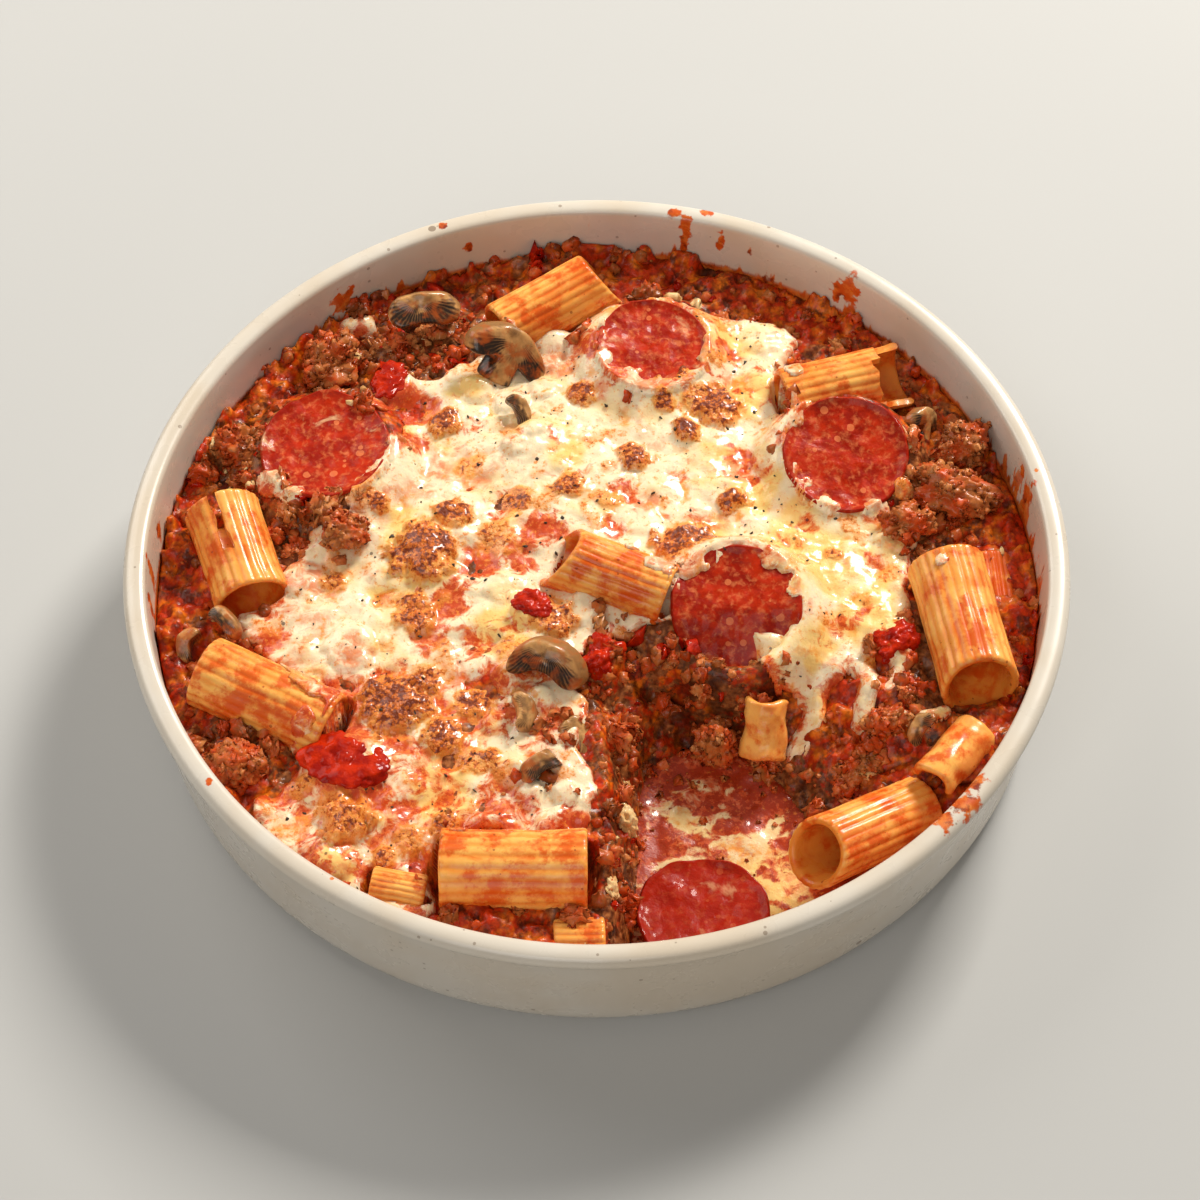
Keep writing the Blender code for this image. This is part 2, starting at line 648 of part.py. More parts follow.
def prism_cutter(name, frame, radius, low, high, sides):
    """Return a prism cutter that clears a round of the given radius between two heights of a frame."""
    bm = bmesh.new()
    corner = (radius + MARGIN) / math.cos(math.pi / sides)
    loops = []
    for height in (low - MARGIN, high + MARGIN):
        angles = [2.0 * math.pi * (k + 0.5) / sides for k in range(sides)]
        loops.append([bm.verts.new(frame @ Vector((corner * math.cos(angle), corner * math.sin(angle), height)))
                      for angle in angles])
    for k in range(sides):
        following = (k + 1) % sides
        bm.faces.new((loops[0][k], loops[0][following], loops[1][following], loops[1][k]))
    bm.faces.new(loops[0])
    bm.faces.new(loops[1])
    return as_cutter(add_object(name + "_cutter", bm, (1.0, 0.0, 1.0), 0.5))


def lump_cutter(piece):
    """Return a twenty-faced cutter that clears a rough chunk."""
    bm = bmesh.new()
    bmesh.ops.create_icosphere(bm, subdivisions=1, radius=1.0)
    turn = Matrix.Rotation(math.radians(piece.turn), 4, "Z")
    reach = LUMP_CLEARING * (1.0 + 0.6 * piece.roughness)
    for vert in bm.verts:
        local = Vector(vert.co[i] * (piece.half[i] * reach + MARGIN / MM) for i in range(3))
        vert.co = (turn @ local + Vector(piece.middle)) * MM
    return as_cutter(add_object(piece.name + "_cutter", bm, (1.0, 0.0, 1.0), 0.5))


def cutter_for(piece, obj):
    """Return a cutter that makes room for one piece."""
    if isinstance(piece, Tube):
        frame, length = tube_frame(piece)
        start = -abs(piece.slant_a) * piece.radius * MM
        return prism_cutter(piece.name, frame, piece.radius * MM, start, length, 8)
    if isinstance(piece, Slice) and not piece.fold:
        frame = frame_towards(piece.facing, piece.middle, (0.0, 1.0, 0.0))
        return prism_cutter(piece.name, frame, piece.radius * MM, 0.0, piece.cup * MM + SALAMI_THICKNESS, 10)
    if isinstance(piece, Lump):
        return lump_cutter(piece)
    return hull_cutter(obj, MARGIN)


def bed_in(beds, placed):
    """Cut room for each placed piece out of the filling and the cheese."""
    for piece, obj in placed:
        for bed in beds:
            cut(bed, cutter_for(piece, obj))


def main():
    """Build the dish, the food in it and every separate piece."""
    clear_scene()
    make_dish()
    filling = make_filling()
    cheese = make_cheese()
    cut(filling, make_hollow("filling_hollow", 0.0))
    cut(cheese, make_hollow("cheese_hollow", 0.0))
    makers = ((make_tube, RIGATONI), (make_slice, SALAMI), (make_mushroom, MUSHROOMS), (make_lump, LUMPS))
    placed = [(piece, make(piece)) for make, pieces in makers for piece in pieces]
    bed_in((filling, cheese), placed)


main()
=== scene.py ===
"""Looks of a baked pasta in its round dish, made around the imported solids.

Sizes are in millimetres and become metres when a mesh is made. Every mesh is
made in place, with its object at the origin.
"""

import itertools
import json
import logging
import math
from dataclasses import dataclass, replace
from enum import Enum
from typing import Any, Callable, Iterable, Sequence

import bmesh
import bpy
import numpy as np
from mathutils import Matrix, Vector

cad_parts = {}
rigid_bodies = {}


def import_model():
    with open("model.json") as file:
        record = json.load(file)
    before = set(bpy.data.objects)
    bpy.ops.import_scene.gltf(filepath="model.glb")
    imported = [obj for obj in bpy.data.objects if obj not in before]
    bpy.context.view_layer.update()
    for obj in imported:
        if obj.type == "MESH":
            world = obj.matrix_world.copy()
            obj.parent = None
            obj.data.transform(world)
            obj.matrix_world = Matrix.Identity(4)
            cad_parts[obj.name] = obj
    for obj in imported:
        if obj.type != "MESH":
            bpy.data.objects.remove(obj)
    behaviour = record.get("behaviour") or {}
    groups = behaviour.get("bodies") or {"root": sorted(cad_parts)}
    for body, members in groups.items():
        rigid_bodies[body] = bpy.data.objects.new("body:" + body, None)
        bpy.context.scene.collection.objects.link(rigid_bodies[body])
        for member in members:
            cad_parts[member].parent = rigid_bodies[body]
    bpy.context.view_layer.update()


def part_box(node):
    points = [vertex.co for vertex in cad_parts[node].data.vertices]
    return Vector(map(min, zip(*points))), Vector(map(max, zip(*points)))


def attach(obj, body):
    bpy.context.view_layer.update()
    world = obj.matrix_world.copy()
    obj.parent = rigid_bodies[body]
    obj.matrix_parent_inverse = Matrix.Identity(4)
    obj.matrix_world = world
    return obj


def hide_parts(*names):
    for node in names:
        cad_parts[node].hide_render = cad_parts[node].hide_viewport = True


LOG = logging.getLogger("baked_pasta")
MM = 0.001
ROOT_BODY = "root"

Array = np.ndarray
Point = tuple[float, float, float]
Outline = Sequence[tuple[float, float]]
Colour = tuple[float, float, float]
Object = bpy.types.Object
Mesh = bpy.types.Mesh
Material = bpy.types.Material
Node = bpy.types.Node
NodeTree = bpy.types.NodeTree
Socket = bpy.types.NodeSocket


def srgb(red: int, green: int, blue: int) -> Colour:
    """Return a display colour as linear light."""
    def linear(value: float) -> float:
        share = value / 255.0
        return share / 12.92 if share <= 0.04045 else ((share + 0.055) / 1.055) ** 2.4
    return linear(red), linear(green), linear(blue)


# ------------------------------------------------------------------ numbers

def ease(value: Array, low: float, high: float) -> Array:
    """Rise smoothly from 0 at low to 1 at high."""
    share = np.clip((value - low) / (high - low), 0.0, 1.0)
    return share * share * (3.0 - 2.0 * share)


def lattice(cell: Array, seed: int) -> Array:
    """Return a repeatable value from 0 to 1 for each whole-numbered cell.

    Args:
        cell: whole numbers, one row of three for each point.
        seed: a different seed gives different values.

    Returns:
        One value for each row.
    """
    mixed = cell[:, 0] * 73856093 ^ cell[:, 1] * 19349663 ^ cell[:, 2] * 83492791 ^ seed * 26544357
    mixed = (mixed ^ mixed >> 13) * 1274126177
    mixed = (mixed ^ mixed >> 15) * 668265263
    return ((mixed ^ mixed >> 16) & 0xFFFFFF) / float(0xFFFFFF)


def noise(points: Array, size: float, seed: int) -> Array:
    """Return smooth noise from -1 to 1 whose features are about size across.

    Args:
        points: one row of three for each point.
        size: spacing of the lattice, in the points' own units.
        seed: which noise.

    Returns:
        One value for each point.
    """
    scaled = points / size
    base = np.floor(scaled).astype(np.int64)
    part = scaled - base
    part = part * part * part * (part * (part * 6.0 - 15.0) + 10.0)
    total = np.zeros(len(points))
    for corner in itertools.product((0, 1), repeat=3):
        weight = np.prod(np.where(np.array(corner) == 1, part, 1.0 - part), axis=1)
        total += weight * lattice(base + np.array(corner), seed)
    return total * 2.0 - 1.0


def layered(points: Array, size: float, seed: int, layers: int = 3, gain: float = 0.5) -> Array:
    """Return noise of several sizes added up, each layer half the size of the last."""
    total, weight = np.zeros(len(points)), 1.0
    for layer in range(layers):
        total += weight * noise(points, size / 2.0 ** layer, seed + layer)
        weight *= gain
    return total


def grains(points: Array, size: float, seed: int) -> Array:
    """Return rounded grains: 1 at a grain's middle, falling to about 0 where grains meet.

    Args:
        points: one row of three for each point.
        size: spacing of the grains.
        seed: which grains.

    Returns:
        One value for each point.
    """
    scaled = points / size
    base = np.floor(scaled).astype(np.int64)
    nearest = np.full(len(points), 9.0)
    for step in itertools.product((-1, 0, 1), repeat=3):
        cell = base + np.array(step)
        middle = np.stack([cell[:, k] + 0.15 + 0.7 * lattice(cell, seed + k) for k in range(3)], axis=1)
        nearest = np.minimum(nearest, np.sum((scaled - middle) ** 2, axis=1))
    return np.clip(1.0 - nearest, 0.0, 1.0)


def flat(x: Array, y: Array) -> Array:
    """Return points at height 0, one row for each."""
    return np.stack([x, y, np.zeros(len(x))], axis=1)


def warp(points: Array, size: float, *seeds: int) -> Array:
    """Return noise along as many axes as there are seeds, and 0 along the others, one row for each point."""
    still = [np.zeros(len(points))] * (3 - len(seeds))
    return np.stack([noise(points, size, seed) for seed in seeds] + still, axis=1)


def segment_distance(x: Array, y: Array, start: tuple[float, float], end: tuple[float, float]) -> Array:
    """Return the distance from points to the straight line between two places."""
    (x0, y0), (x1, y1) = start, end
    dx, dy = x1 - x0, y1 - y0
    share = np.clip(((x - x0) * dx + (y - y0) * dy) / (dx * dx + dy * dy), 0.0, 1.0)
    return np.hypot(x - x0 - share * dx, y - y0 - share * dy)


def outline_distance(x: Array, y: Array, outline: Outline) -> Array:
    """Return how far points lie inside a closed outline, negative outside.

    Args:
        x, y: the points.
        outline: the corners, in order.

    Returns:
        The distance to the outline, positive inside.
    """
    near = np.full(len(x), np.inf)
    inside = np.zeros(len(x), dtype=bool)
    for start, end in zip(outline, list(outline[1:]) + [outline[0]]):
        near = np.minimum(near, segment_distance(x, y, start, end))
        (x0, y0), (x1, y1) = start, end
        if y1 != y0:
            crossing = x0 + (y - y0) / (y1 - y0) * (x1 - x0)
            inside ^= ((y0 > y) != (y1 > y)) & (x < crossing)
    return np.where(inside, near, -near)


def rounded(outline: Outline, passes: int = 2) -> list[tuple[float, float]]:
    """Cut a closed outline's corners, pass after pass, until it runs smoothly."""
    points = list(outline)
    for _ in range(passes):
        following = points[1:] + points[:1]
        points = [point for (x0, y0), (x1, y1) in zip(points, following)
                  for point in ((0.75 * x0 + 0.25 * x1, 0.75 * y0 + 0.25 * y1),
                                (0.25 * x0 + 0.75 * x1, 0.25 * y0 + 0.75 * y1))]
    return points


# ------------------------------------------------------------------- meshes

def make_object(name: str, points: Array, faces: Array | Sequence[Sequence[int]],
                material: Material | None = None,
                values: dict[str, Array] | None = None) -> Object:
    """Make a smooth mesh object from points in millimetres.

    Args:
        name: the object's name.
        points: one row of three for each vertex.
        faces: vertex numbers of each face.
        material: its material, if it has one yet.
        values: named numbers kept on the vertices.

    Returns:
        The new object, linked to the scene.
    """
    mesh = bpy.data.meshes.new(name)
    listed = faces.tolist() if isinstance(faces, np.ndarray) else faces
    mesh.from_pydata((np.asarray(points) * MM).tolist(), [], listed)
    for key, numbers in (values or {}).items():
        keep_value(mesh, key, numbers)
    mesh.shade_smooth()
    obj = bpy.data.objects.new(name, mesh)
    bpy.context.scene.collection.objects.link(obj)
    if material:
        mesh.materials.append(material)
    return obj


def mesh_points(mesh: Mesh) -> Array:
    """Return a mesh's vertices in millimetres."""
    flat_list = np.empty(len(mesh.vertices) * 3, np.float32)
    mesh.vertices.foreach_get("co", flat_list)
    return flat_list.reshape(-1, 3).astype(float) / MM


def keep_value(mesh: Mesh, name: str, value: float | Array) -> None:
    """Keep a named number, or one for each, on a mesh's vertices."""
    layer = mesh.attributes.new(name, "FLOAT", "POINT")
    layer.data.foreach_set("value", np.full(len(mesh.vertices), value, np.float32))


def ring_faces(rings: int, around: int, turned: bool = False) -> list[tuple[int, ...]]:
    """Return the faces of a closed body made of rings of vertices and two middle vertices after them.

    Args:
        rings: how many rings there are, from the first middle vertex to the second.
        around: how many vertices each ring has.
        turned: whether the faces look the other way.

    Returns:
        The vertex numbers of each face.
    """
    total, last = rings * around, (rings - 1) * around
    steps = [(k, (k + 1) % around) for k in range(around)]
    faces: list[tuple[int, ...]] = []
    for low in range(0, last, around):
        faces += [(low + k, low + following, low + around + following, low + around + k) for k, following in steps]
    for k, following in steps:
        faces += [(total, following, k), (total + 1, last + k, last + following)]
    return [(face[0], *face[:0:-1]) for face in faces] if turned else faces


def modified_mesh(obj: Object, modifier: bpy.types.Modifier) -> Mesh:
    """Return the mesh that an object's modifier makes, and take the modifier off."""
    bpy.context.view_layer.update()
    depsgraph = bpy.context.evaluated_depsgraph_get()
    mesh = bpy.data.meshes.new_from_object(obj.evaluated_get(depsgraph), preserve_all_data_layers=True,
                                           depsgraph=depsgraph)
    obj.modifiers.remove(modifier)
    return mesh


def face_out(mesh: Mesh) -> None:
    """Turn a closed mesh's faces outwards."""
    bm = bmesh.new()
    bm.from_mesh(mesh)
    bmesh.ops.recalc_face_normals(bm, faces=bm.faces)
    if bm.calc_volume(signed=True) < 0.0:
        bmesh.ops.reverse_faces(bm, faces=bm.faces)
    bm.to_mesh(mesh)
    bm.free()


def frame_towards(axis: Sequence[float], middle: Sequence[float],
                  up_hint: Sequence[float] = (0.0, 0.0, 1.0)) -> Matrix:
    """Return the matrix that lays local +Z along axis and local +X near up_hint.

    Args:
        axis: the way local +Z points.
        middle: where the local origin stands, in millimetres.
        up_hint: the way local +X leans.

    Returns:
        The matrix, its place in metres.
    """
    along = Vector(axis).normalized()
    across = Vector(up_hint) - along * Vector(up_hint).dot(along)
    if across.length < 0.01:
        across = along.orthogonal()
    across.normalize()
    side = along.cross(across)
    turned = Matrix((across, side, along)).transposed().to_4x4()
    turned.translation = Vector(middle) * MM
    return turned


class Sheet:
    """A square grid trimmed to an outline, with its border drawn onto that outline."""

    FLATTEST = 0.3
    BORDER_SHARE = 0.75

    def __init__(self, inside: Callable[[Array, Array], Array], reach: float, step: float) -> None:
        """Trim a grid.

        Args:
            inside: how far a point lies inside the outline, negative outside.
            reach: half the side of the square that is searched.
            step: the grid's spacing.
        """
        count = int(2 * reach / step) + 1
        line = np.linspace(-reach, reach, count)
        grid_x, grid_y = np.meshgrid(line, line)
        depth = inside(grid_x.ravel(), grid_y.ravel()).reshape(count, count)
        slope_y, slope_x = np.gradient(depth, line[1] - line[0])
        steep = np.maximum(np.hypot(slope_x, slope_y), self.FLATTEST) ** 2
        outside = np.minimum(depth, 0.0)
        grid_x = grid_x - outside * slope_x / steep
        grid_y = grid_y - outside * slope_y / steep
        near = depth > -self.BORDER_SHARE * step
        whole = near[:-1, :-1] & near[1:, :-1] & near[:-1, 1:] & near[1:, 1:]
        rows, columns = np.nonzero(whole)
        first = rows * count + columns
        corners = np.stack([first, first + 1, first + count + 1, first + count], axis=1)
        used, numbered = np.unique(corners, return_inverse=True)
        self.faces: Array = numbered.reshape(-1, 4)
        self.x: Array = grid_x.ravel()[used]
        self.y: Array = grid_y.ravel()[used]
        self.depth: Array = np.maximum(depth.ravel()[used], 0.0)

    def closed(self, name: str, height: Array, under: float, material: Material,
               values: dict[str, Array]) -> Object:
        """Make a closed body: the sheet at its heights, a copy of it below and a wall round its border.

        Args:
            name: the object's name.
            height: the height of each point.
            under: how far the underside lies below the top.
            material: the body's material.
            values: named numbers kept on the vertices.

        Returns:
            The new object.
        """
        count = len(self.x)
        top = np.stack([self.x, self.y, height], axis=1)
        points = np.concatenate([top, top - np.array([0.0, 0.0, under])])
        edges = np.concatenate([self.faces[:, (side, (side + 1) % 4)] for side in range(4)])
        forward = edges[:, 0] * count + edges[:, 1]
        backward = edges[:, 1] * count + edges[:, 0]
        border = edges[~np.isin(backward, forward)]
        wall = np.stack([border[:, 1], border[:, 0], border[:, 0] + count, border[:, 1] + count], axis=1)
        faces = np.concatenate([self.faces, self.faces[:, ::-1] + count, wall])
        both = {key: np.concatenate([numbers, 0.0 * numbers if key == "crumbs" else numbers])
                for key, numbers in values.items()}
        return make_object(name, points, faces, material, both)


# -------------------------------------------------------------------- nodes

class Kind(Enum):
    """The kinds of socket that a group or tree is given."""

    FLOAT = "NodeSocketFloat"
    WHOLE = "NodeSocketInt"
    SWITCH = "NodeSocketBool"
    VECTOR = "NodeSocketVector"
    COLOUR = "NodeSocketColor"
    MATERIAL = "NodeSocketMaterial"
    GEOMETRY = "NodeSocketGeometry"


def new_sockets(tree: NodeTree, inputs: Iterable[tuple[str, Kind, Any]],
                outputs: Iterable[tuple[str, Kind]]) -> None:
    """Give a group or tree its named inputs, each with its starting value, and its outputs."""
    for label, kind, start in inputs:
        socket = tree.interface.new_socket(label, in_out="INPUT", socket_type=kind.value)
        if start is not None:
            socket.default_value = start
    for label, kind in outputs:
        tree.interface.new_socket(label, in_out="OUTPUT", socket_type=kind.value)


class Tree:
    """Adds nodes to a shader or geometry tree and wires them."""

    def __init__(self, tree: NodeTree) -> None:
        """Keep the tree that nodes are added to."""
        self.tree = tree

    def add(self, kind: str, inputs: dict[Any, Any] | None = None, **settings: Any) -> Node:
        """Add a node.

        Args:
            kind: the node's type.
            inputs: values for its sockets, or sockets to wire to them, by name or number.
            settings: the node's own settings.

        Returns:
            The node.
        """
        node = self.tree.nodes.new(kind)
        for key, value in settings.items():
            setattr(node, key, value)
        for key, value in (inputs or {}).items():
            if isinstance(value, Socket):
                self.tree.links.new(value, node.inputs[key])
            elif node.inputs[key].type == "RGBA" and len(value) == 3:
                node.inputs[key].default_value = (*value, 1.0)
            else:
                node.inputs[key].default_value = value
        return node

    def math(self, operation: str, first: Any, second: Any = 0.0, third: Any = 0.0) -> Socket:
        """Add a Math node and return its result."""
        return self.add("ShaderNodeMath", {0: first, 1: second, 2: third}, operation=operation).outputs[0]

    def plus(self, first: Any, second: Any) -> Socket:
        """Add two values."""
        return self.math("ADD", first, second)

    def minus(self, first: Any, second: Any) -> Socket:
        """Take the second value from the first."""
        return self.math("SUBTRACT", first, second)

    def times(self, first: Any, *others: Any) -> Socket:
        """Multiply values."""
        for other in others:
            first = self.math("MULTIPLY", first, other)
        return first

    def times_plus(self, first: Any, second: Any, added: Any) -> Socket:
        """Multiply two values and add a third."""
        return self.math("MULTIPLY_ADD", first, second, added)

    def vector(self, operation: str, first: Any, second: Any = (0.0, 0.0, 0.0)) -> Socket:
        """Add a Vector Math node and return its vector."""
        return self.add("ShaderNodeVectorMath", {0: first, 1: second}, operation=operation).outputs[0]

    def scaled(self, vector: Any, factor: Any) -> Socket:
        """Multiply a vector by a number."""
        return self.add("ShaderNodeVectorMath", {0: vector, "Scale": factor}, operation="SCALE").outputs[0]

    def noise_shift(self, place: Socket, which: Any, scale: float, detail: float) -> Socket:
        """Return a vector of noise around 0, a different one for each value of which."""
        noise = self.add("ShaderNodeTexNoise", {"Vector": place, "W": which, "Scale": scale, "Detail": detail},
                         noise_dimensions="4D")
        return self.vector("SUBTRACT", noise.outputs["Color"], (0.5, 0.5, 0.5))

    def ease(self, value: Any, low: Any, high: Any, to_low: float = 0.0, to_high: float = 1.0) -> Socket:
        """Add a smooth Map Range node and return its result."""
        node = self.add("ShaderNodeMapRange", {0: value, 1: low, 2: high, 3: to_low, 4: to_high},
                        interpolation_type="SMOOTHSTEP")
        return node.outputs[0]


class Paint(Tree):
    """Adds shader nodes: coordinates, noise, colour mixes and bumps."""

    def __init__(self, tree: NodeTree) -> None:
        """Keep the tree; its Object coordinates start when they are first asked for."""
        super().__init__(tree)
        self._place: Socket | None = None

    @property
    def place(self) -> Socket:
        """Object coordinates, in metres."""
        if self._place is None:
            self._place = self.add("ShaderNodeTexCoord").outputs["Object"]
        return self._place

    def value(self, name: str) -> Socket:
        """Return the number that the mesh keeps under a name."""
        return self.add("ShaderNodeAttribute", attribute_name=name).outputs["Fac"]

    def noise(self, size: float, detail: float = 3.0, roughness: float = 0.55, distortion: float = 0.0) -> Socket:
        """Return noise with features of a size in millimetres."""
        return self.add("ShaderNodeTexNoise", {
            "Vector": self.place, "Scale": 1.0 / (size * MM), "Detail": detail, "Roughness": roughness,
            "Distortion": distortion}).outputs["Fac"]

    def uneven(self, value: Any, noise: Socket, spread: float, low: float, high: float) -> Socket:
        """Add unevenness to a value.

        Args:
            value: the value.
            noise: noise from 0 to 1.
            spread: how far from a half the noise has to be for the whole effect.
            low: what is added where the noise is low.
            high: what is added where the noise is high.

        Returns:
            The uneven value.
        """
        return self.plus(value, self.ease(noise, 0.5 - spread, 0.5 + spread, low, high))

    def mix(self, share: Any, first: Any, second: Any) -> Socket:
        """Mix two colours."""
        return self.add("ShaderNodeMix", {0: share, 6: first, 7: second}, data_type="RGBA").outputs[2]

    def bump(self, height: Socket, distance: float, strength: float = 1.0, normal: Socket | None = None) -> Socket:
        """Return a normal bumped by a height that is worth a distance in millimetres."""
        inputs: dict[Any, Any] = {"Height": height, "Distance": distance * MM, "Strength": strength}
        if normal is not None:
            inputs["Normal"] = normal
        return self.add("ShaderNodeBump", inputs).outputs["Normal"]


class SharedEffects:
    """The shader node groups that the materials share, built once."""

    def __init__(self) -> None:
        """Build the groups."""
        self._grain = self._build_grain()
        self._mottle = self._build_mottle()
        self._specks = self._build_specks()
        self._stain = self._build_stain()

    def grain(self, paint: Paint, scale: float, fine: float) -> tuple[Socket, Socket]:
        """Place rounded grains and return their height and a mask of their gaps."""
        outputs = self._place(paint, self._grain, {"Scale": scale, "Fine": fine})
        return outputs["Height"], outputs["Gap"]

    def mottle(self, paint: Paint, scale: float, level: float, softness: float) -> Socket:
        """Place soft-edged patches and return their mask."""
        return self._place(paint, self._mottle, {"Scale": scale, "Level": level, "Softness": softness})["Mask"]

    def specks(self, paint: Paint, scale: float, size: float, share: float) -> Socket:
        """Place scattered specks and return their mask."""
        return self._place(paint, self._specks, {"Scale": scale, "Size": size, "Share": share})["Mask"]

    def stain(self, paint: Paint, inputs: dict[str, Any]) -> Socket:
        """Place a stain with a darker rim and return the stained colour."""
        return paint.add("ShaderNodeGroup", inputs, node_tree=self._stain).outputs["Colour"]

    @staticmethod
    def _place(paint: Paint, group: NodeTree, inputs: dict[str, Any]) -> Any:
        """Place a group over the object's coordinates and return its outputs."""
        return paint.add("ShaderNodeGroup", {"Vector": paint.place, **inputs}, node_tree=group).outputs

    @staticmethod
    def _group(name: str, inputs: Iterable[tuple[str, Kind, Any]],
               outputs: Iterable[tuple[str, Kind]]) -> tuple[Paint, Any, Any]:
        """Start a shader group and return it with what it is given and what it puts out."""
        tree = bpy.data.node_groups.new(name, "ShaderNodeTree")
        new_sockets(tree, inputs, outputs)
        paint = Paint(tree)
        return paint, paint.add("NodeGroupInput").outputs, paint.add("NodeGroupOutput").inputs

    def _build_grain(self) -> NodeTree:
        """Rounded grains under finer roughness: a height for a bump and a mask of the gaps."""
        paint, given, out = self._group(
            "grain", [("Vector", Kind.VECTOR, None), ("Scale", Kind.FLOAT, 600.0), ("Fine", Kind.FLOAT, 0.4)],
            [("Height", Kind.FLOAT), ("Gap", Kind.FLOAT)])
        cells = paint.add("ShaderNodeTexVoronoi", {"Vector": given["Vector"], "Scale": given["Scale"],
                                                   "Smoothness": 0.35}, feature="SMOOTH_F1").outputs["Distance"]
        finer = paint.times(given["Scale"], 2.6)
        fine = paint.add("ShaderNodeTexNoise", {"Vector": given["Vector"], "Scale": finer, "Detail": 4.0})
        height = paint.times_plus(fine.outputs["Fac"], given["Fine"], paint.minus(1.0, cells))
        paint.tree.links.new(height, out["Height"])
        paint.tree.links.new(paint.ease(cells, 0.35, 0.75), out["Gap"])
        return paint.tree

    def _build_mottle(self) -> NodeTree:
        """Soft-edged patches: a mask that is 1 where the noise passes a level."""
        paint, given, out = self._group(
            "mottle", [("Vector", Kind.VECTOR, None), ("Scale", Kind.FLOAT, 200.0), ("Level", Kind.FLOAT, 0.5),
                       ("Softness", Kind.FLOAT, 0.1)], [("Mask", Kind.FLOAT)])
        fine = paint.add("ShaderNodeTexNoise", {"Vector": given["Vector"], "Scale": given["Scale"], "Detail": 5.0,
                                                "Roughness": 0.6, "Distortion": 0.4}).outputs["Fac"]
        low = paint.minus(given["Level"], given["Softness"])
        high = paint.plus(given["Level"], given["Softness"])
        paint.tree.links.new(paint.ease(fine, low, high), out["Mask"])
        return paint.tree

    def _build_specks(self) -> NodeTree:
        """Small scattered specks: a mask, 1 inside a speck."""
        paint, given, out = self._group(
            "specks", [("Vector", Kind.VECTOR, None), ("Scale", Kind.FLOAT, 300.0), ("Size", Kind.FLOAT, 0.2),
                       ("Share", Kind.FLOAT, 0.3)], [("Mask", Kind.FLOAT)])
        cells = paint.add("ShaderNodeTexVoronoi", {"Vector": given["Vector"], "Scale": given["Scale"]}).outputs
        draws = paint.add("ShaderNodeSeparateColor", {0: cells["Color"]}).outputs
        chosen = paint.math("LESS_THAN", draws[0], given["Share"])
        size = paint.times(given["Size"], paint.plus(draws[1], 0.35))
        near = paint.math("LESS_THAN", cells["Distance"], size)
        paint.tree.links.new(paint.times(chosen, near), out["Mask"])
        return paint.tree

    def _build_stain(self) -> NodeTree:
        """A stain with a darker rim: the colour after staining."""
        paint, given, out = self._group(
            "stain", [("Colour", Kind.COLOUR, (1, 1, 1, 1)), ("Stain", Kind.COLOUR, (0.5, 0.1, 0.0, 1)),
                      ("Rim", Kind.COLOUR, (0.2, 0.03, 0.0, 1)), ("Mask", Kind.FLOAT, 0.0)],
            [("Colour", Kind.COLOUR)])
        body = paint.mix(given["Mask"], given["Colour"], given["Stain"])
        away = paint.math("ABSOLUTE", paint.minus(given["Mask"], 0.55))
        rim = paint.ease(away, 0.0, 0.4, 0.15, 0.0)
        paint.tree.links.new(paint.mix(rim, body, given["Rim"]), out["Colour"])
        return paint.tree


@dataclass(frozen=True)
class Gloss:
    """What is the same all over a finish: its shader's plain settings."""

    roughness: float = 0.4
    subsurface: float = 0.0
    depth: Colour = (1.0, 0.4, 0.2)
    coat: float = 0.0
    coat_roughness: float = 0.15
    specular: float = 0.5


class Finish:
    """A material being made: a Paint tree with its Principled shader."""

    SUBSURFACE_SCALE = 1.6 * MM

    def __init__(self, name: str, gloss: Gloss) -> None:
        """Make the material and set its plain settings.

        Args:
            name: the material's name.
            gloss: its plain settings.
        """
        self.material = bpy.data.materials.new(name)
        self.material.use_nodes = True
        self.paint = Paint(self.material.node_tree)
        self.shader = self.material.node_tree.nodes["Principled BSDF"]
        plain = {"Roughness": gloss.roughness, "Specular IOR Level": gloss.specular, "Coat Weight": gloss.coat,
                 "Coat Roughness": gloss.coat_roughness}
        if gloss.subsurface:
            plain |= {"Subsurface Weight": gloss.subsurface, "Subsurface Radius": gloss.depth,
                      "Subsurface Scale": self.SUBSURFACE_SCALE}
        for key, value in plain.items():
            self.shader.inputs[key].default_value = value

    def wire(self, colour: Socket, normal: Socket | None = None, roughness: Socket | None = None) -> Material:
        """Wire the shader's changing inputs and return the material."""
        for key, socket in (("Base Color", colour), ("Normal", normal), ("Roughness", roughness)):
            if socket is not None:
                self.material.node_tree.links.new(socket, self.shader.inputs[key])
        return self.material


# ----------------------------------------------------------------- finishes

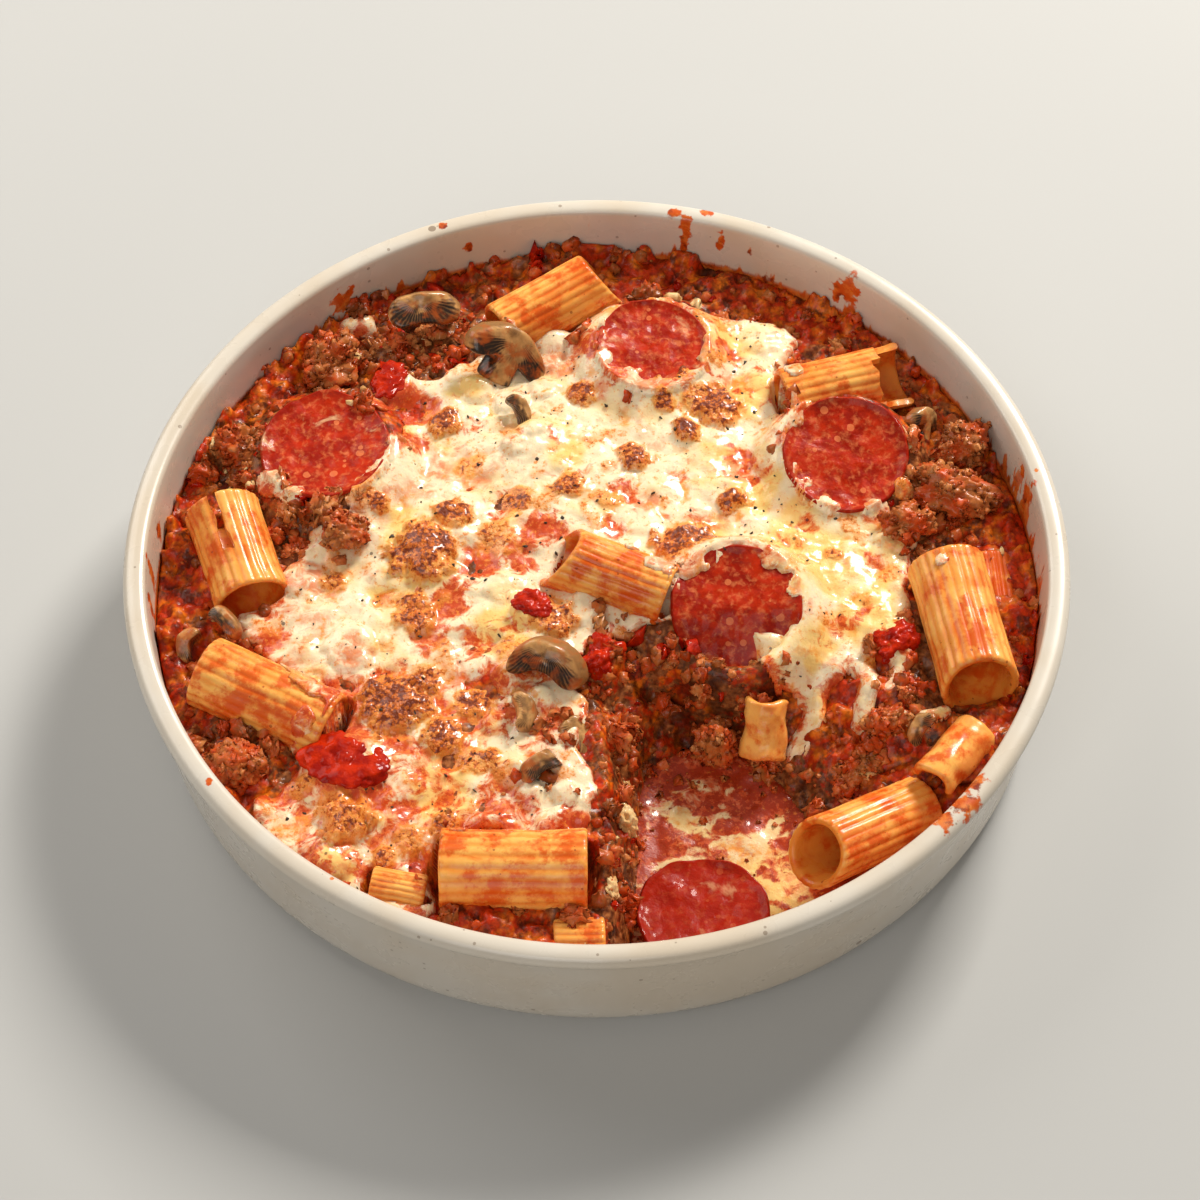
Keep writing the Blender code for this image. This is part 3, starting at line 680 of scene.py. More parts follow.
@dataclass(frozen=True)
class GlazeFinish:
    """Cream speckled glaze with orange sauce stains near the food."""

    body: Colour = srgb(217, 209, 196)
    warm: Colour = srgb(211, 197, 177)
    speck: Colour = srgb(120, 96, 74)
    film: Colour = srgb(232, 164, 96)
    sauce: Colour = srgb(206, 84, 18)
    orange: Colour = srgb(226, 126, 50)
    burnt: Colour = srgb(112, 26, 6)
    lowest_stain: float = 17.0
    whole_stain: float = 22.0

    def build(self, effects: SharedEffects) -> Material:
        """Make the material."""
        finish = Finish("dish_glaze", Gloss(roughness=0.34, coat=0.2, coat_roughness=0.14))
        paint = finish.paint
        colour = paint.mix(paint.ease(paint.noise(38.0), 0.35, 0.65), self.body, self.warm)
        colour = paint.mix(paint.times(effects.specks(paint, 420.0, 0.16, 0.16), 0.55), colour, self.speck)
        colour = paint.mix(paint.times(effects.specks(paint, 120.0, 0.12, 0.1), 0.7), colour, self.speck)
        inside = paint.value("stain")
        film = paint.times(self._food_line(paint, 24.4, 11.0, 3.0), inside)
        colour = paint.mix(paint.times(film, 0.3), colour, self.film)
        mask = paint.times(self._food_line(paint, 24.2, 10.5, 1.1), inside)
        for splash in SPLASHES:
            mask = paint.math("MAXIMUM", mask, splash.mask(paint))
        sauce = paint.mix(paint.ease(paint.noise(2.6, 5.0, 0.65), 0.4, 0.62), self.sauce, self.orange)
        sauce = paint.mix(paint.ease(paint.noise(4.4, 5.0, 0.65), 0.52, 0.66, 0.0, 0.85), sauce, self.burnt)
        colour = effects.stain(paint, {"Colour": colour, "Stain": sauce, "Rim": self.burnt, "Mask": mask})
        normal = paint.bump(paint.noise(26.0, 2.0), 0.5, 0.4)
        normal = paint.bump(paint.noise(0.9), 0.02, 0.5, normal)
        return finish.wire(colour, normal, paint.ease(paint.noise(9.0), 0.3, 0.7, 0.24, 0.36))

    def _food_line(self, paint: Paint, base: float, climb_most: float, softness: float) -> Socket:
        """Return a mask of the sauce baked on above the food, with a ragged upper edge.

        Args:
            paint: the glaze's nodes.
            base: the height that the sauce reaches everywhere, in millimetres.
            climb_most: how far it climbs above that at most.
            softness: how softly its upper edge fades.

        Returns:
            The mask.
        """
        upright = paint.vector("MULTIPLY", paint.place, (1.0, 1.0, 0.22))
        ragged = paint.add("ShaderNodeTexNoise", {"Vector": upright, "Scale": 190.0, "Detail": 5.0,
                                                  "Roughness": 0.62}).outputs["Fac"]
        place = paint.add("ShaderNodeSeparateXYZ", {0: paint.place}).outputs
        wide = paint.ease(paint.noise(30.0, 2.0), 0.45, 0.66)
        wide = paint.times(wide, paint.ease(place["X"], -0.085, -0.03, 0.2, 1.0))
        wide = paint.plus(wide, paint.ease(place["X"], 0.082, 0.102, 0.0, 0.42))
        climb = paint.ease(ragged, 0.45, 0.74, 0.0, climb_most)
        line = paint.times_plus(climb, paint.plus(wide, 0.14), base)
        height = paint.times(place["Z"], 1.0 / MM)
        broken = paint.ease(paint.noise(9.0, 5.0, 0.6), 0.43, 0.55)
        kept = paint.math("MAXIMUM", broken, paint.ease(height, self.lowest_stain, self.whole_stain))
        below = paint.ease(paint.minus(line, height), -0.45 * softness, softness)
        return paint.times(below, kept)


@dataclass(frozen=True)
class Splash:
    """A splash of sauce on the dish: its place, its size and how long a run it left."""

    angle: float
    reach: float
    height: float
    radius: float
    run: float

    def mask(self, paint: Paint) -> Socket:
        """Return a mask that is 1 inside the splash."""
        turn = math.radians(self.angle)
        middle = (self.reach * math.cos(turn) * MM, self.reach * math.sin(turn) * MM, self.height * MM)
        away = paint.vector("SUBTRACT", paint.place, middle)
        shaped = paint.vector("MULTIPLY", away, (1.0, 1.0, 1.0 / self.run))
        distance = paint.add("ShaderNodeVectorMath", {0: shaped}, operation="LENGTH").outputs["Value"]
        reach = paint.times(distance, 1.0 / (self.radius * MM))
        ragged = paint.uneven(reach, paint.noise(2.6, 4.0), 0.25, -0.6, 0.6)
        return paint.ease(ragged, 0.75, 1.1, 1.0, 0.0)


SPLASHES = tuple(Splash(*row) for row in (
    (111.2, 107.6, 38.2, 1.1, 1.0), (79.4, 106.3, 38.2, 1.4, 1.0), (77.6, 105.0, 35.5, 1.5, 3.2),
    (75.4, 108.6, 38.0, 1.7, 1.0), (-41.0, 107.2, 38.0, 3.4, 1.0), (-44.5, 106.4, 38.0, 2.6, 1.0),
    (-37.5, 106.0, 37.0, 2.4, 1.0), (-122.7, 105.8, 38.0, 0.9, 1.0), (-142.9, 107.0, 38.4, 0.9, 1.0),
    (12.1, 106.4, 38.0, 0.9, 1.0), (108.2, 104.0, 31.0, 1.4, 1.0), (77.7, 104.2, 31.0, 1.1, 4.0),
    (72.7, 104.3, 33.0, 0.9, 4.0), (68.3, 104.2, 32.2, 1.0, 1.6), (52.9, 104.2, 32.6, 2.6, 1.7),
    (55.0, 104.2, 30.0, 1.6, 2.2), (14.2, 104.2, 33.9, 1.3, 1.4), (11.0, 104.2, 31.0, 2.4, 2.4),
    (-178.8, 104.0, 30.0, 1.8, 3.4), (186.0, 104.0, 30.0, 1.6, 3.0), (174.0, 104.0, 29.5, 1.5, 2.6),
    (127.6, 104.0, 29.0, 3.4, 1.2),
))


@dataclass(frozen=True)
class SauceMeatFinish:
    """Moist minced meat in tomato sauce, redder or browner from place to place, with painted shade between its grains
    and in its low places.
    """

    meat: Colour = srgb(184, 112, 60)
    meat_dark: Colour = srgb(112, 54, 22)
    sauce: Colour = srgb(196, 50, 2)
    oil: Colour = srgb(234, 122, 24)
    # Dark red-brown: random darker patches, and painted shade in the grain gaps and low places.
    deep: Colour = srgb(50, 14, 3)

    def build(self, effects: SharedEffects) -> Material:
        """Make the material."""
        finish = Finish("sauce_and_meat", Gloss(roughness=0.4, coat=0.16, coat_roughness=0.1, specular=0.16))
        paint = finish.paint
        height, gap = effects.grain(paint, 620.0, 0.5)
        meat = paint.mix(paint.ease(paint.noise(1.6, 4.0), 0.35, 0.68), self.meat_dark, self.meat)
        sauce = paint.mix(paint.ease(paint.noise(4.2, 4.0), 0.42, 0.7), self.sauce, self.oil)
        patches = effects.mottle(paint, 260.0, 0.5, 0.12)
        share = paint.plus(paint.value("sauce"), paint.ease(patches, 0.0, 1.0, -0.28, 0.28))
        colour = paint.mix(paint.ease(share, 0.25, 0.75), meat, sauce)
        colour = paint.mix(paint.ease(paint.noise(5.5, 5.0, 0.65), 0.53, 0.64, 0.0, 0.75), colour, self.deep)
        # Painted shade in the gaps between the grains.
        colour = paint.mix(paint.times(gap, 0.45), colour, self.deep)
        # Painted shade in the filling's low places and the hollow's depth, from the value kept for it on the mesh.
        colour = paint.mix(paint.ease(paint.value("cavity_shade"), 0.0, 1.0, 0.0, 0.75), colour, self.deep)
        normal = paint.bump(height, 0.55, 0.6)
        return finish.wire(colour, normal, paint.ease(paint.noise(2.5), 0.3, 0.7, 0.28, 0.6))


@dataclass(frozen=True)
class CheeseFinish:
    """Melted cheese: cream, yellow where oily, orange where thin and browned on its blisters."""

    name: str = "baked_cheese"
    cream: Colour = srgb(249, 228, 190)
    butter: Colour = srgb(248, 205, 124)
    seam: Colour = srgb(240, 158, 62)
    thin: Colour = srgb(222, 92, 18)
    flecks: Colour = srgb(188, 48, 8)
    pink: Colour = srgb(228, 124, 72)
    golden: Colour = srgb(243, 152, 62)
    brown: Colour = srgb(208, 104, 26)
    dark: Colour = srgb(112, 38, 6)
    speck: Colour = srgb(48, 34, 22)

    def build(self, effects: SharedEffects) -> Material:
        """Make the material."""
        finish = Finish(self.name, Gloss(roughness=0.36, coat=0.45, coat_roughness=0.07, subsurface=0.2,
                                         depth=(1.0, 0.7, 0.35), specular=0.25))
        paint = finish.paint
        colour = self._thin_and_oily(paint)
        height, gap = effects.grain(paint, 950.0, 0.8)
        brown = paint.value("brown")
        toast = paint.uneven(brown, paint.noise(1.5, 5.0, 0.7), 0.22, -0.55, 0.55)
        colour = paint.mix(paint.ease(brown, 0.0, 0.45, 0.0, 0.7), colour, self.golden)
        colour = paint.mix(paint.ease(toast, 0.2, 0.55, 0.0, 0.8), colour, self.golden)
        colour = paint.mix(paint.ease(toast, 0.42, 0.8), colour, self.brown)
        burnt = paint.plus(toast, paint.ease(gap, 0.0, 1.0, -0.12, 0.3))
        colour = paint.mix(paint.ease(burnt, 0.82, 1.22, 0.0, 0.92), colour, self.dark)
        colour = paint.mix(paint.times(effects.specks(paint, 300.0, 0.12, 0.07), 0.7), colour, self.speck)
        normal = paint.bump(paint.times(height, paint.ease(brown, 0.1, 0.6)), 0.5, 0.7)
        normal = paint.bump(paint.noise(3.4, 4.0, 0.6), 0.6, 0.6, normal)
        return finish.wire(colour, normal, paint.ease(paint.noise(3.0), 0.35, 0.65, 0.24, 0.42))

    def _thin_and_oily(self, paint: Paint) -> Socket:
        """Return the colour before browning: oil, seams, and sauce that shows through where it is thin."""
        butter = paint.uneven(paint.value("oil"), paint.noise(11.0), 0.2, -0.35, 0.4)
        colour = paint.mix(paint.ease(butter, 0.05, 0.8), self.cream, self.butter)
        seam = paint.uneven(paint.value("seam"), paint.noise(2.4, 5.0, 0.6), 0.2, -0.4, 0.4)
        fading = paint.ease(paint.noise(10.0), 0.38, 0.6, 0.3, 0.95)
        colour = paint.mix(paint.times(paint.ease(seam, 0.3, 0.95), fading), colour, self.seam)
        rosy = paint.uneven(paint.value("rosy"), paint.noise(8.5, 4.0, 0.6, 0.4), 0.18, -0.3, 0.36)
        veins = paint.ease(paint.noise(2.6, 5.0, 0.62, 0.8), 0.36, 0.6, 0.15, 1.0)
        colour = paint.mix(paint.times(paint.ease(rosy, 0.15, 0.9, 0.0, 0.85), veins), colour, self.pink)
        thin = paint.uneven(paint.value("thin"), paint.noise(3.8, 6.0, 0.64, 0.7), 0.2, -0.42, 0.45)
        colour = paint.mix(paint.ease(thin, 0.22, 0.75, 0.0, 0.92), colour, self.thin)
        red = paint.uneven(thin, paint.noise(1.3, 4.0, 0.65), 0.15, -0.5, 0.35)
        return paint.mix(paint.ease(red, 0.55, 0.95, 0.0, 0.7), colour, self.flecks)


@dataclass(frozen=True)
class PastaFinish:
    """Cooked pasta: pale ridges, grooves painted a darker orange as shade, sauce stains and a brown-orange bore."""

    crest: Colour = srgb(250, 188, 98)
    # Valley: the darker orange painted into the grooves as shade; also used for random darker patches.
    valley: Colour = srgb(236, 134, 42)
    bore: Colour = srgb(230, 140, 52)
    sauce: Colour = srgb(216, 80, 6)
    burnt: Colour = srgb(130, 32, 4)

    def build(self, effects: SharedEffects) -> Material:
        """Make the material."""
        finish = Finish("cooked_pasta", Gloss(roughness=0.36, coat=0.22, coat_roughness=0.12, subsurface=0.16,
                                              depth=(1.0, 0.5, 0.15), specular=0.2))
        paint = finish.paint
        ridge = paint.value("ridge")
        # Painted shade: the grooves between the ridges are painted towards the darker valley colour.
        pale = paint.uneven(ridge, paint.noise(3.5), 0.2, -0.35, 0.35)
        colour = paint.mix(paint.ease(pale, 0.1, 0.9, 0.42, 1.0), self.valley, self.crest)
        colour = paint.mix(paint.ease(paint.noise(13.0, 2.0), 0.36, 0.64, 0.0, 0.55), colour, self.valley)
        colour = paint.mix(paint.ease(paint.noise(3.0, 4.0, 0.6), 0.52, 0.75, 0.0, 0.35), colour, self.valley)
        colour = paint.mix(paint.value("bore"), colour, self.bore)
        less_on_crest = paint.ease(ridge, 0.0, 1.0, 1.0, 0.55)
        patches = paint.times(effects.mottle(paint, 150.0, 0.55, 0.07), less_on_crest)
        colour = paint.mix(paint.times(patches, 0.72), colour, self.sauce)
        smeared = paint.plus(paint.noise(7.0, 6.0, 0.68), paint.value("sauced"))
        colour = paint.mix(paint.ease(smeared, 0.54, 0.7, 0.0, 0.88), colour, self.sauce)
        colour = paint.mix(paint.times(effects.specks(paint, 620.0, 0.18, 0.12), 0.6), colour, self.burnt)
        normal = paint.bump(paint.noise(1.1, 4.0), 0.06, 0.7)
        return finish.wire(colour, normal, paint.ease(paint.noise(3.0), 0.3, 0.7, 0.22, 0.42))


@dataclass(frozen=True)
class SalamiFinish:
    """Cured sausage: deep red lean, paler fat flecks, darker oily rim, and painted shade that darkens a whole slice
    where it is asked for.
    """

    lean: Colour = srgb(186, 42, 8)
    dark: Colour = srgb(152, 24, 3)
    fat: Colour = srgb(230, 128, 76)
    rim: Colour = srgb(158, 24, 2)
    film: Colour = srgb(246, 204, 150)

    def build(self, effects: SharedEffects) -> Material:
        """Make the material."""
        finish = Finish("salami", Gloss(roughness=0.42, coat=0.13, coat_roughness=0.08, specular=0.1))
        paint = finish.paint
        colour = paint.mix(paint.ease(paint.noise(5.0, 5.0, 0.62), 0.4, 0.6), self.dark, self.lean)
        colour = paint.mix(paint.times(effects.mottle(paint, 560.0, 0.6, 0.14), 0.6), colour, self.fat)
        colour = paint.mix(paint.times(effects.specks(paint, 330.0, 0.3, 0.26), 0.62), colour, self.fat)
        # Painted shade: the baked value darkens the whole slice towards the dark lean colour.
        colour = paint.mix(paint.value("baked"), colour, self.dark)
        colour = paint.mix(paint.ease(paint.value("edge"), 0.0, 1.0, 0.0, 0.6), colour, self.rim)
        milky = paint.times(effects.mottle(paint, 130.0, 0.66, 0.06), paint.value("film"), 0.6)
        colour = paint.mix(milky, colour, self.film)
        height, _ = effects.grain(paint, 520.0, 0.5)
        normal = paint.bump(height, 0.12, 0.5, paint.bump(paint.noise(3.4, 4.0), 0.8, 0.6))
        return finish.wire(colour, normal, paint.ease(paint.noise(2.0), 0.3, 0.7, 0.3, 0.6))


@dataclass(frozen=True)
class MushroomFinish:
    """Cooked mushroom: beige flesh, grey-brown skin and dark gills."""

    flesh: Colour = srgb(214, 160, 98)
    skin: Colour = srgb(150, 106, 60)
    under: Colour = srgb(122, 84, 50)
    gill: Colour = srgb(44, 30, 20)
    sauce: Colour = srgb(186, 84, 20)
    blades: float = 52.0

    def build(self, effects: SharedEffects) -> Material:
        """Make the material."""
        finish = Finish("mushroom", Gloss(roughness=0.36, coat=0.35, coat_roughness=0.08, subsurface=0.12,
                                          depth=(1.0, 0.6, 0.4), specular=0.25))
        paint = finish.paint
        colour = paint.mix(paint.ease(paint.noise(4.0, 4.0), 0.3, 0.72), self.flesh, self.skin)
        colour = paint.mix(paint.value("skin"), colour, self.skin)
        blades = paint.math("SINE", paint.times(paint.value("turn"), self.blades))
        gills = paint.uneven(paint.value("gill"), paint.noise(2.2, 4.0), 0.2, -0.2, 0.26)
        gills = paint.times(gills, paint.ease(blades, -0.7, 0.7, 0.7, 1.5))
        colour = paint.mix(paint.ease(gills, 0.05, 0.5), colour, self.under)
        colour = paint.mix(paint.ease(gills, 0.42, 0.95), colour, self.gill)
        colour = paint.mix(paint.times(effects.mottle(paint, 240.0, 0.56, 0.1), 0.7), colour, self.sauce)
        return finish.wire(colour, paint.bump(paint.noise(1.3, 4.0), 0.15, 0.7))


@dataclass(frozen=True)
class WetFinish:
    """A wet, see-through looking chunk, such as tomato or onion."""

    name: str
    light: Colour
    dark: Colour
    pulp: Colour

    def build(self, effects: SharedEffects) -> Material:
        """Make the material."""
        finish = Finish(self.name, Gloss(roughness=0.34, coat=0.22, coat_roughness=0.06, subsurface=0.08,
                                         depth=(1.0, 0.3, 0.1), specular=0.06))
        paint = finish.paint
        colour = paint.mix(paint.ease(paint.noise(3.0, 4.0), 0.34, 0.68), self.dark, self.light)
        colour = paint.mix(paint.times(effects.specks(paint, 520.0, 0.2, 0.12), 0.5), colour, self.pulp)
        normal = paint.bump(paint.noise(2.4, 5.0, 0.62), 0.9, 0.7)
        return finish.wire(colour, normal, paint.ease(paint.noise(1.4), 0.35, 0.65, 0.28, 0.55))


@dataclass(frozen=True)
class CrumbFinish:
    """Browned crumbs of minced meat, each crumb its own tone."""

    pale: Colour = srgb(212, 140, 80)
    brown: Colour = srgb(182, 104, 50)
    dark: Colour = srgb(128, 64, 26)
    sauce: Colour = srgb(206, 62, 4)

    def build(self, effects: SharedEffects) -> Material:
        """Make the material."""
        finish = Finish("minced_meat", Gloss(roughness=0.45, coat=0.16, coat_roughness=0.12, specular=0.18))
        paint = finish.paint
        tone = paint.value("tone")
        colour = paint.mix(paint.ease(tone, 0.0, 0.55), self.dark, self.brown)
        colour = paint.mix(paint.ease(tone, 0.5, 1.0), colour, self.pale)
        colour = paint.mix(paint.times(effects.mottle(paint, 170.0, 0.51, 0.12), 0.74), colour, self.sauce)
        colour = paint.mix(paint.ease(paint.noise(0.8), 0.5, 0.75, 0.0, 0.4), colour, self.dark)
        normal = paint.bump(paint.noise(0.9, 4.0), 0.22, 0.8)
        return finish.wire(colour, normal, paint.ease(paint.noise(1.5), 0.3, 0.7, 0.24, 0.5))


class Palette:
    """Every material, made once."""

    def __init__(self) -> None:
        """Build the shared effects and the finishes."""
        effects = SharedEffects()
        self.glaze = GlazeFinish().build(effects)
        self.filling = SauceMeatFinish().build(effects)
        self.cheese = CheeseFinish().build(effects)
        self.film = CheeseFinish("sauce_and_cheese_film", cream=srgb(242, 210, 160), thin=srgb(200, 62, 6),
                                 flecks=srgb(146, 26, 1)).build(effects)
        self.pasta = PastaFinish().build(effects)
        self.salami = SalamiFinish().build(effects)
        self.mushroom = MushroomFinish().build(effects)
        self.tomato = WetFinish("tomato", srgb(200, 42, 2), srgb(150, 15, 0), srgb(222, 100, 24)).build(effects)
        self.onion = WetFinish("onion", srgb(238, 206, 150), srgb(214, 156, 92), srgb(250, 232, 190)).build(effects)
        self.crumbs = CrumbFinish().build(effects)
        self.pepper = self._pepper()

    @staticmethod
    def _pepper() -> Material:
        """Make the dark material of the pepper and herb flakes."""
        finish = Finish("pepper_and_herb", Gloss(roughness=0.6))
        paint = finish.paint
        return finish.wire(paint.mix(paint.noise(1.0), srgb(38, 26, 16), srgb(74, 58, 30)))


# ----------------------------------------------------------- the food's form

HOLLOW_FLOOR = ((7, -112), (8, -88), (10, -66), (10, -50), (13, -41), (21, -37),
                (32, -38), (41, -45), (48, -56), (56, -70), (70, -100))
HOLLOW_BRIM = ((0, -112), (1, -90), (3, -70), (2, -52), (-1, -32), (9, -18),
               (34, -17), (56, -26), (76, -38), (98, -50), (124, -66))
CHEESE_OUTLINE = (
    (-24, 74), (-13, 76), (1, 79), (13, 80), (29, 82), (38, 82), (48, 77), (48, 66), (46, 55), (48, 46), (45, 38),
    (50, 26), (60, 19), (70, 21), (77, 12), (75, 2), (77, -8), (72, -15), (66, -20), (60, -26), (54, -33), (48, -34),
    (40, -26), (24, -15), (8, -16), (-2, -22), (-4, -30), (-2, -38), (-3, -50), (1, -56), (-1, -70), (-17, -71),
    (-35, -71), (-36, -91), (-45, -91), (-61, -82), (-74, -70), (-78, -60), (-68, -53), (-60, -36), (-66, -28),
    (-79, -21), (-86, -13), (-82, -10), (-76, -4), (-75, 6), (-66, 14), (-52, 21), (-48, 34), (-44, 44), (-54, 50),
    (-56, 57), (-40, 62), (-32, 67),
)


@dataclass(frozen=True)
class Form:
    """The dish's inside and the levels of the food, in millimetres."""

    radius: float
    height: float
    floor: float = 5.0
    rim: float = 5.2
    draft: float = 0.055
    rounding: float = 7.0
    middle_level: float = 27.0
    edge_level: float = 24.0
    wave_height: float = 0.9
    wave_length: float = 46.0
    hollow_film: float = 0.3
    hollow_curve: float = 0.8

    @classmethod
    def from_frame(cls) -> "Form":
        """Take the dish's radius and height from its solid."""
        low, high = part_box("dish")
        return cls(radius=(high.x - low.x) / 2.0 / MM, height=high.z / MM)

    def inner_radius(self, height: float) -> float:
        """Return the radius of the dish's inside at a height."""
        radius = self.radius - self.rim - (self.height - height) * self.draft
        rise = height - self.floor
        if rise >= self.rounding:
            return radius
        drop = self.rounding - max(rise, 0.0)
        return radius - self.rounding + math.sqrt(max(self.rounding ** 2 - drop ** 2, 0.0))

    def inside_height(self, reach: Array) -> Array:
        """Return the height of the dish's floor, with its rounding up to the wall, at a distance out."""
        wall = self.inner_radius(self.floor + self.rounding)
        across = np.clip(reach - (wall - self.rounding), 0.0, self.rounding)
        return self.floor + self.rounding - np.sqrt(self.rounding ** 2 - across ** 2)

    def level(self, x: Array, y: Array) -> Array:
        """Return the height of the food's top before the helping was taken."""
        reach = np.clip(np.hypot(x, y) / self.inner_radius(self.edge_level), 0.0, 1.0)
        level = self.middle_level + (self.edge_level - self.middle_level) * ease(reach, 0.0, 1.0)
        turn = 2.0 * math.pi / self.wave_length
        waves = np.sin(turn * x + 0.7) * np.cos(turn * 0.8 * y - 0.4) + 0.5 * np.sin(turn * 1.5 * (x - y))
        return level + self.wave_height * waves / 1.5

    @staticmethod
    def hollow_share(x: Array, y: Array) -> Array:
        """Return 0 on the hollow's floor, 1 outside its brim and in between on its slope."""
        from_floor = np.maximum(-outline_distance(x, y, HOLLOW_FLOOR), 0.0)
        to_brim = np.maximum(outline_distance(x, y, HOLLOW_BRIM), 0.0)
        return from_floor / np.maximum(from_floor + to_brim, 1e-6)

    def surface(self, x: Array, y: Array) -> Array:
        """Return the height of the food's top with the helping taken."""
        low = self.floor + self.hollow_film
        return low + (self.level(x, y) - low) * self.hollow_share(x, y) ** self.hollow_curve


@dataclass(frozen=True)
class Spot:
    """A round place on the food: middle, radius and how strongly it counts."""

    x: float
    y: float
    radius: float
    strength: float = 1.0

    def reach(self, x: Array, y: Array) -> Array:
        """Return how far out points lie, 1 at the rim."""
        return np.hypot(x - self.x, y - self.y) / self.radius


def spots(*rows: tuple[float, ...]) -> tuple[Spot, ...]:
    """Make spots from rows of middle, radius and strength."""
    return tuple(Spot(*row) for row in rows)


def spots_at(x: Array, y: Array, places: Iterable[Spot], wobble: Array | float = 0.0) -> Array:
    """Return the strongest spot at each point, fading out towards each spot's rim."""
    total = np.zeros(len(x))
    for place in places:
        total = np.maximum(total, place.strength * ease(-(place.reach(x, y) + wobble), -1.15, -0.35))
    return total


# ---------------------------------------------------------------- the dish

@dataclass(frozen=True)
class Dish:
    """The round stoneware dish, turned from one profile."""

    form: Form
    foot_radius: float = 98.0
    foot_rounding: float = 8.0
    collar_height: float = 3.8
    collar_overhang: float = 1.7
    lip: float = 1.5
    segments: int = 288
    quarter_steps: int = 8
    clean_rim: float = 37.6
    stained_below: float = 36.4
    sharp_angle: float = 60.0

    def _collar(self) -> list[tuple[float, float]]:
        """Return the outline of the rolled collar and the rim, from below on the outside to the inside."""
        radius, top = self.form.radius, self.form.height
        foot = top - self.collar_height
        return [(radius - self.collar_overhang + 0.15, foot - 0.25), (radius - 0.9, foot + 0.1),
                (radius - 0.3, foot + 0.55), (radius, foot + 1.3), (radius, foot + 1.9), (radius - 0.25, top - 1.1),
                (radius - 0.8, top - 0.45), (radius - 1.6, top - 0.1), (radius - 2.6, top), (radius - 3.8, top - 0.08),
                (radius - 4.6, top - 0.35), (radius - 5.05, top - 0.8),
                (radius - self.form.rim - 0.05, top - self.lip)]

    def profile(self) -> list[tuple[float, float]]:
        """Return the half outline from the middle of the base, over the rim, to the middle of the floor."""
        form = self.form
        turns = [math.radians(90.0 / self.quarter_steps * step) for step in range(self.quarter_steps + 1)]
        points = [(0.0, 0.0), (0.5 * self.foot_radius, 0.0), (self.foot_radius, 0.0)]
        points += [(self.foot_radius + self.foot_rounding * math.sin(turn),
                    self.foot_rounding * (1.0 - math.cos(turn))) for turn in turns[1:]]
        wall_foot = self.foot_radius + self.foot_rounding
        wall_run = form.radius - self.collar_overhang - wall_foot
        wall_rise = form.height - self.collar_height - 0.6 - self.foot_rounding
        points += [(wall_foot + wall_run * share, self.foot_rounding + wall_rise * share)
                   for share in (0.25, 0.5, 0.75, 0.97)]
        points += self._collar()
        floor_top = form.floor + form.rounding
        for share in (0.2, 0.4, 0.6, 0.8):
            height = form.height - self.lip + (floor_top - form.height + self.lip) * share
            points.append((form.inner_radius(height), height))
        wall = form.inner_radius(floor_top)
        points += [(wall - form.rounding * (1.0 - math.cos(turn)), floor_top - form.rounding * math.sin(turn))
                   for turn in turns]
        return points + [(0.6 * wall, form.floor), (0.3 * wall, form.floor), (0.0, form.floor)]

    def build(self, palette: Palette) -> Object:
        """Turn the profile into the dish and keep on it where sauce may stain it."""
        profile = self.profile()
        angles = np.arange(self.segments) * 2.0 * math.pi / self.segments
        rows = [np.stack([radius * np.cos(angles), radius * np.sin(angles), np.full(self.segments, height)], axis=1)
                for radius, height in profile[1:-1]]
        points = np.concatenate(rows + [np.array([[0.0, 0.0, profile[0][1]], [0.0, 0.0, profile[-1][1]]])])
        form = self.form
        wall = form.radius - form.rim
        inside = ease(-np.hypot(points[:, 0], points[:, 1]), -(wall + 0.1), -(wall - 0.6))
        low_down = ease(-points[:, 2], -self.clean_rim, -self.stained_below)
        above_floor = ease(points[:, 2], form.floor - 1.5, form.floor - 0.2)
        obj = make_object("stoneware_dish", points, ring_faces(len(rows), self.segments), palette.glaze,
                          {"stain": inside * low_down * above_floor})
        obj.data.set_sharp_from_angle(angle=math.radians(self.sharp_angle))
        return obj


# ------------------------------------------------ what lies in and on the bed

NO_LIMIT = 99.0
BORE_INSET = 0.9
OPEN_REACH = 5.0
OPEN_SLOPE = 2.6
ON_TOP = 20.0
WELL_BEDDED = 25.0
BANK_REACH = 1.6


def tube_beds(x: Array, y: Array, surface: Array) -> Array:
    """Return how high the bed may reach, so that it stays out of the bore of every tube that lies open."""
    limit = np.full(len(x), NO_LIMIT)
    for tube in RIGATONI:
        if tube.cut is Cut.SHARD:
            continue
        run, along, off, centre = tube.seen_from_above(x, y)
        bore = tube.radius - BORE_INSET
        beyond = np.maximum(np.maximum(-along, along - run), 0.0)
        drop = np.sqrt(np.clip(bore ** 2 - off ** 2, 0.0, None))
        under = (off < bore) & (beyond < OPEN_REACH) & (surface < centre + 0.3 * tube.radius)
        limit = np.where(under, np.minimum(limit, centre - drop + OPEN_SLOPE * beyond), limit)
    return limit


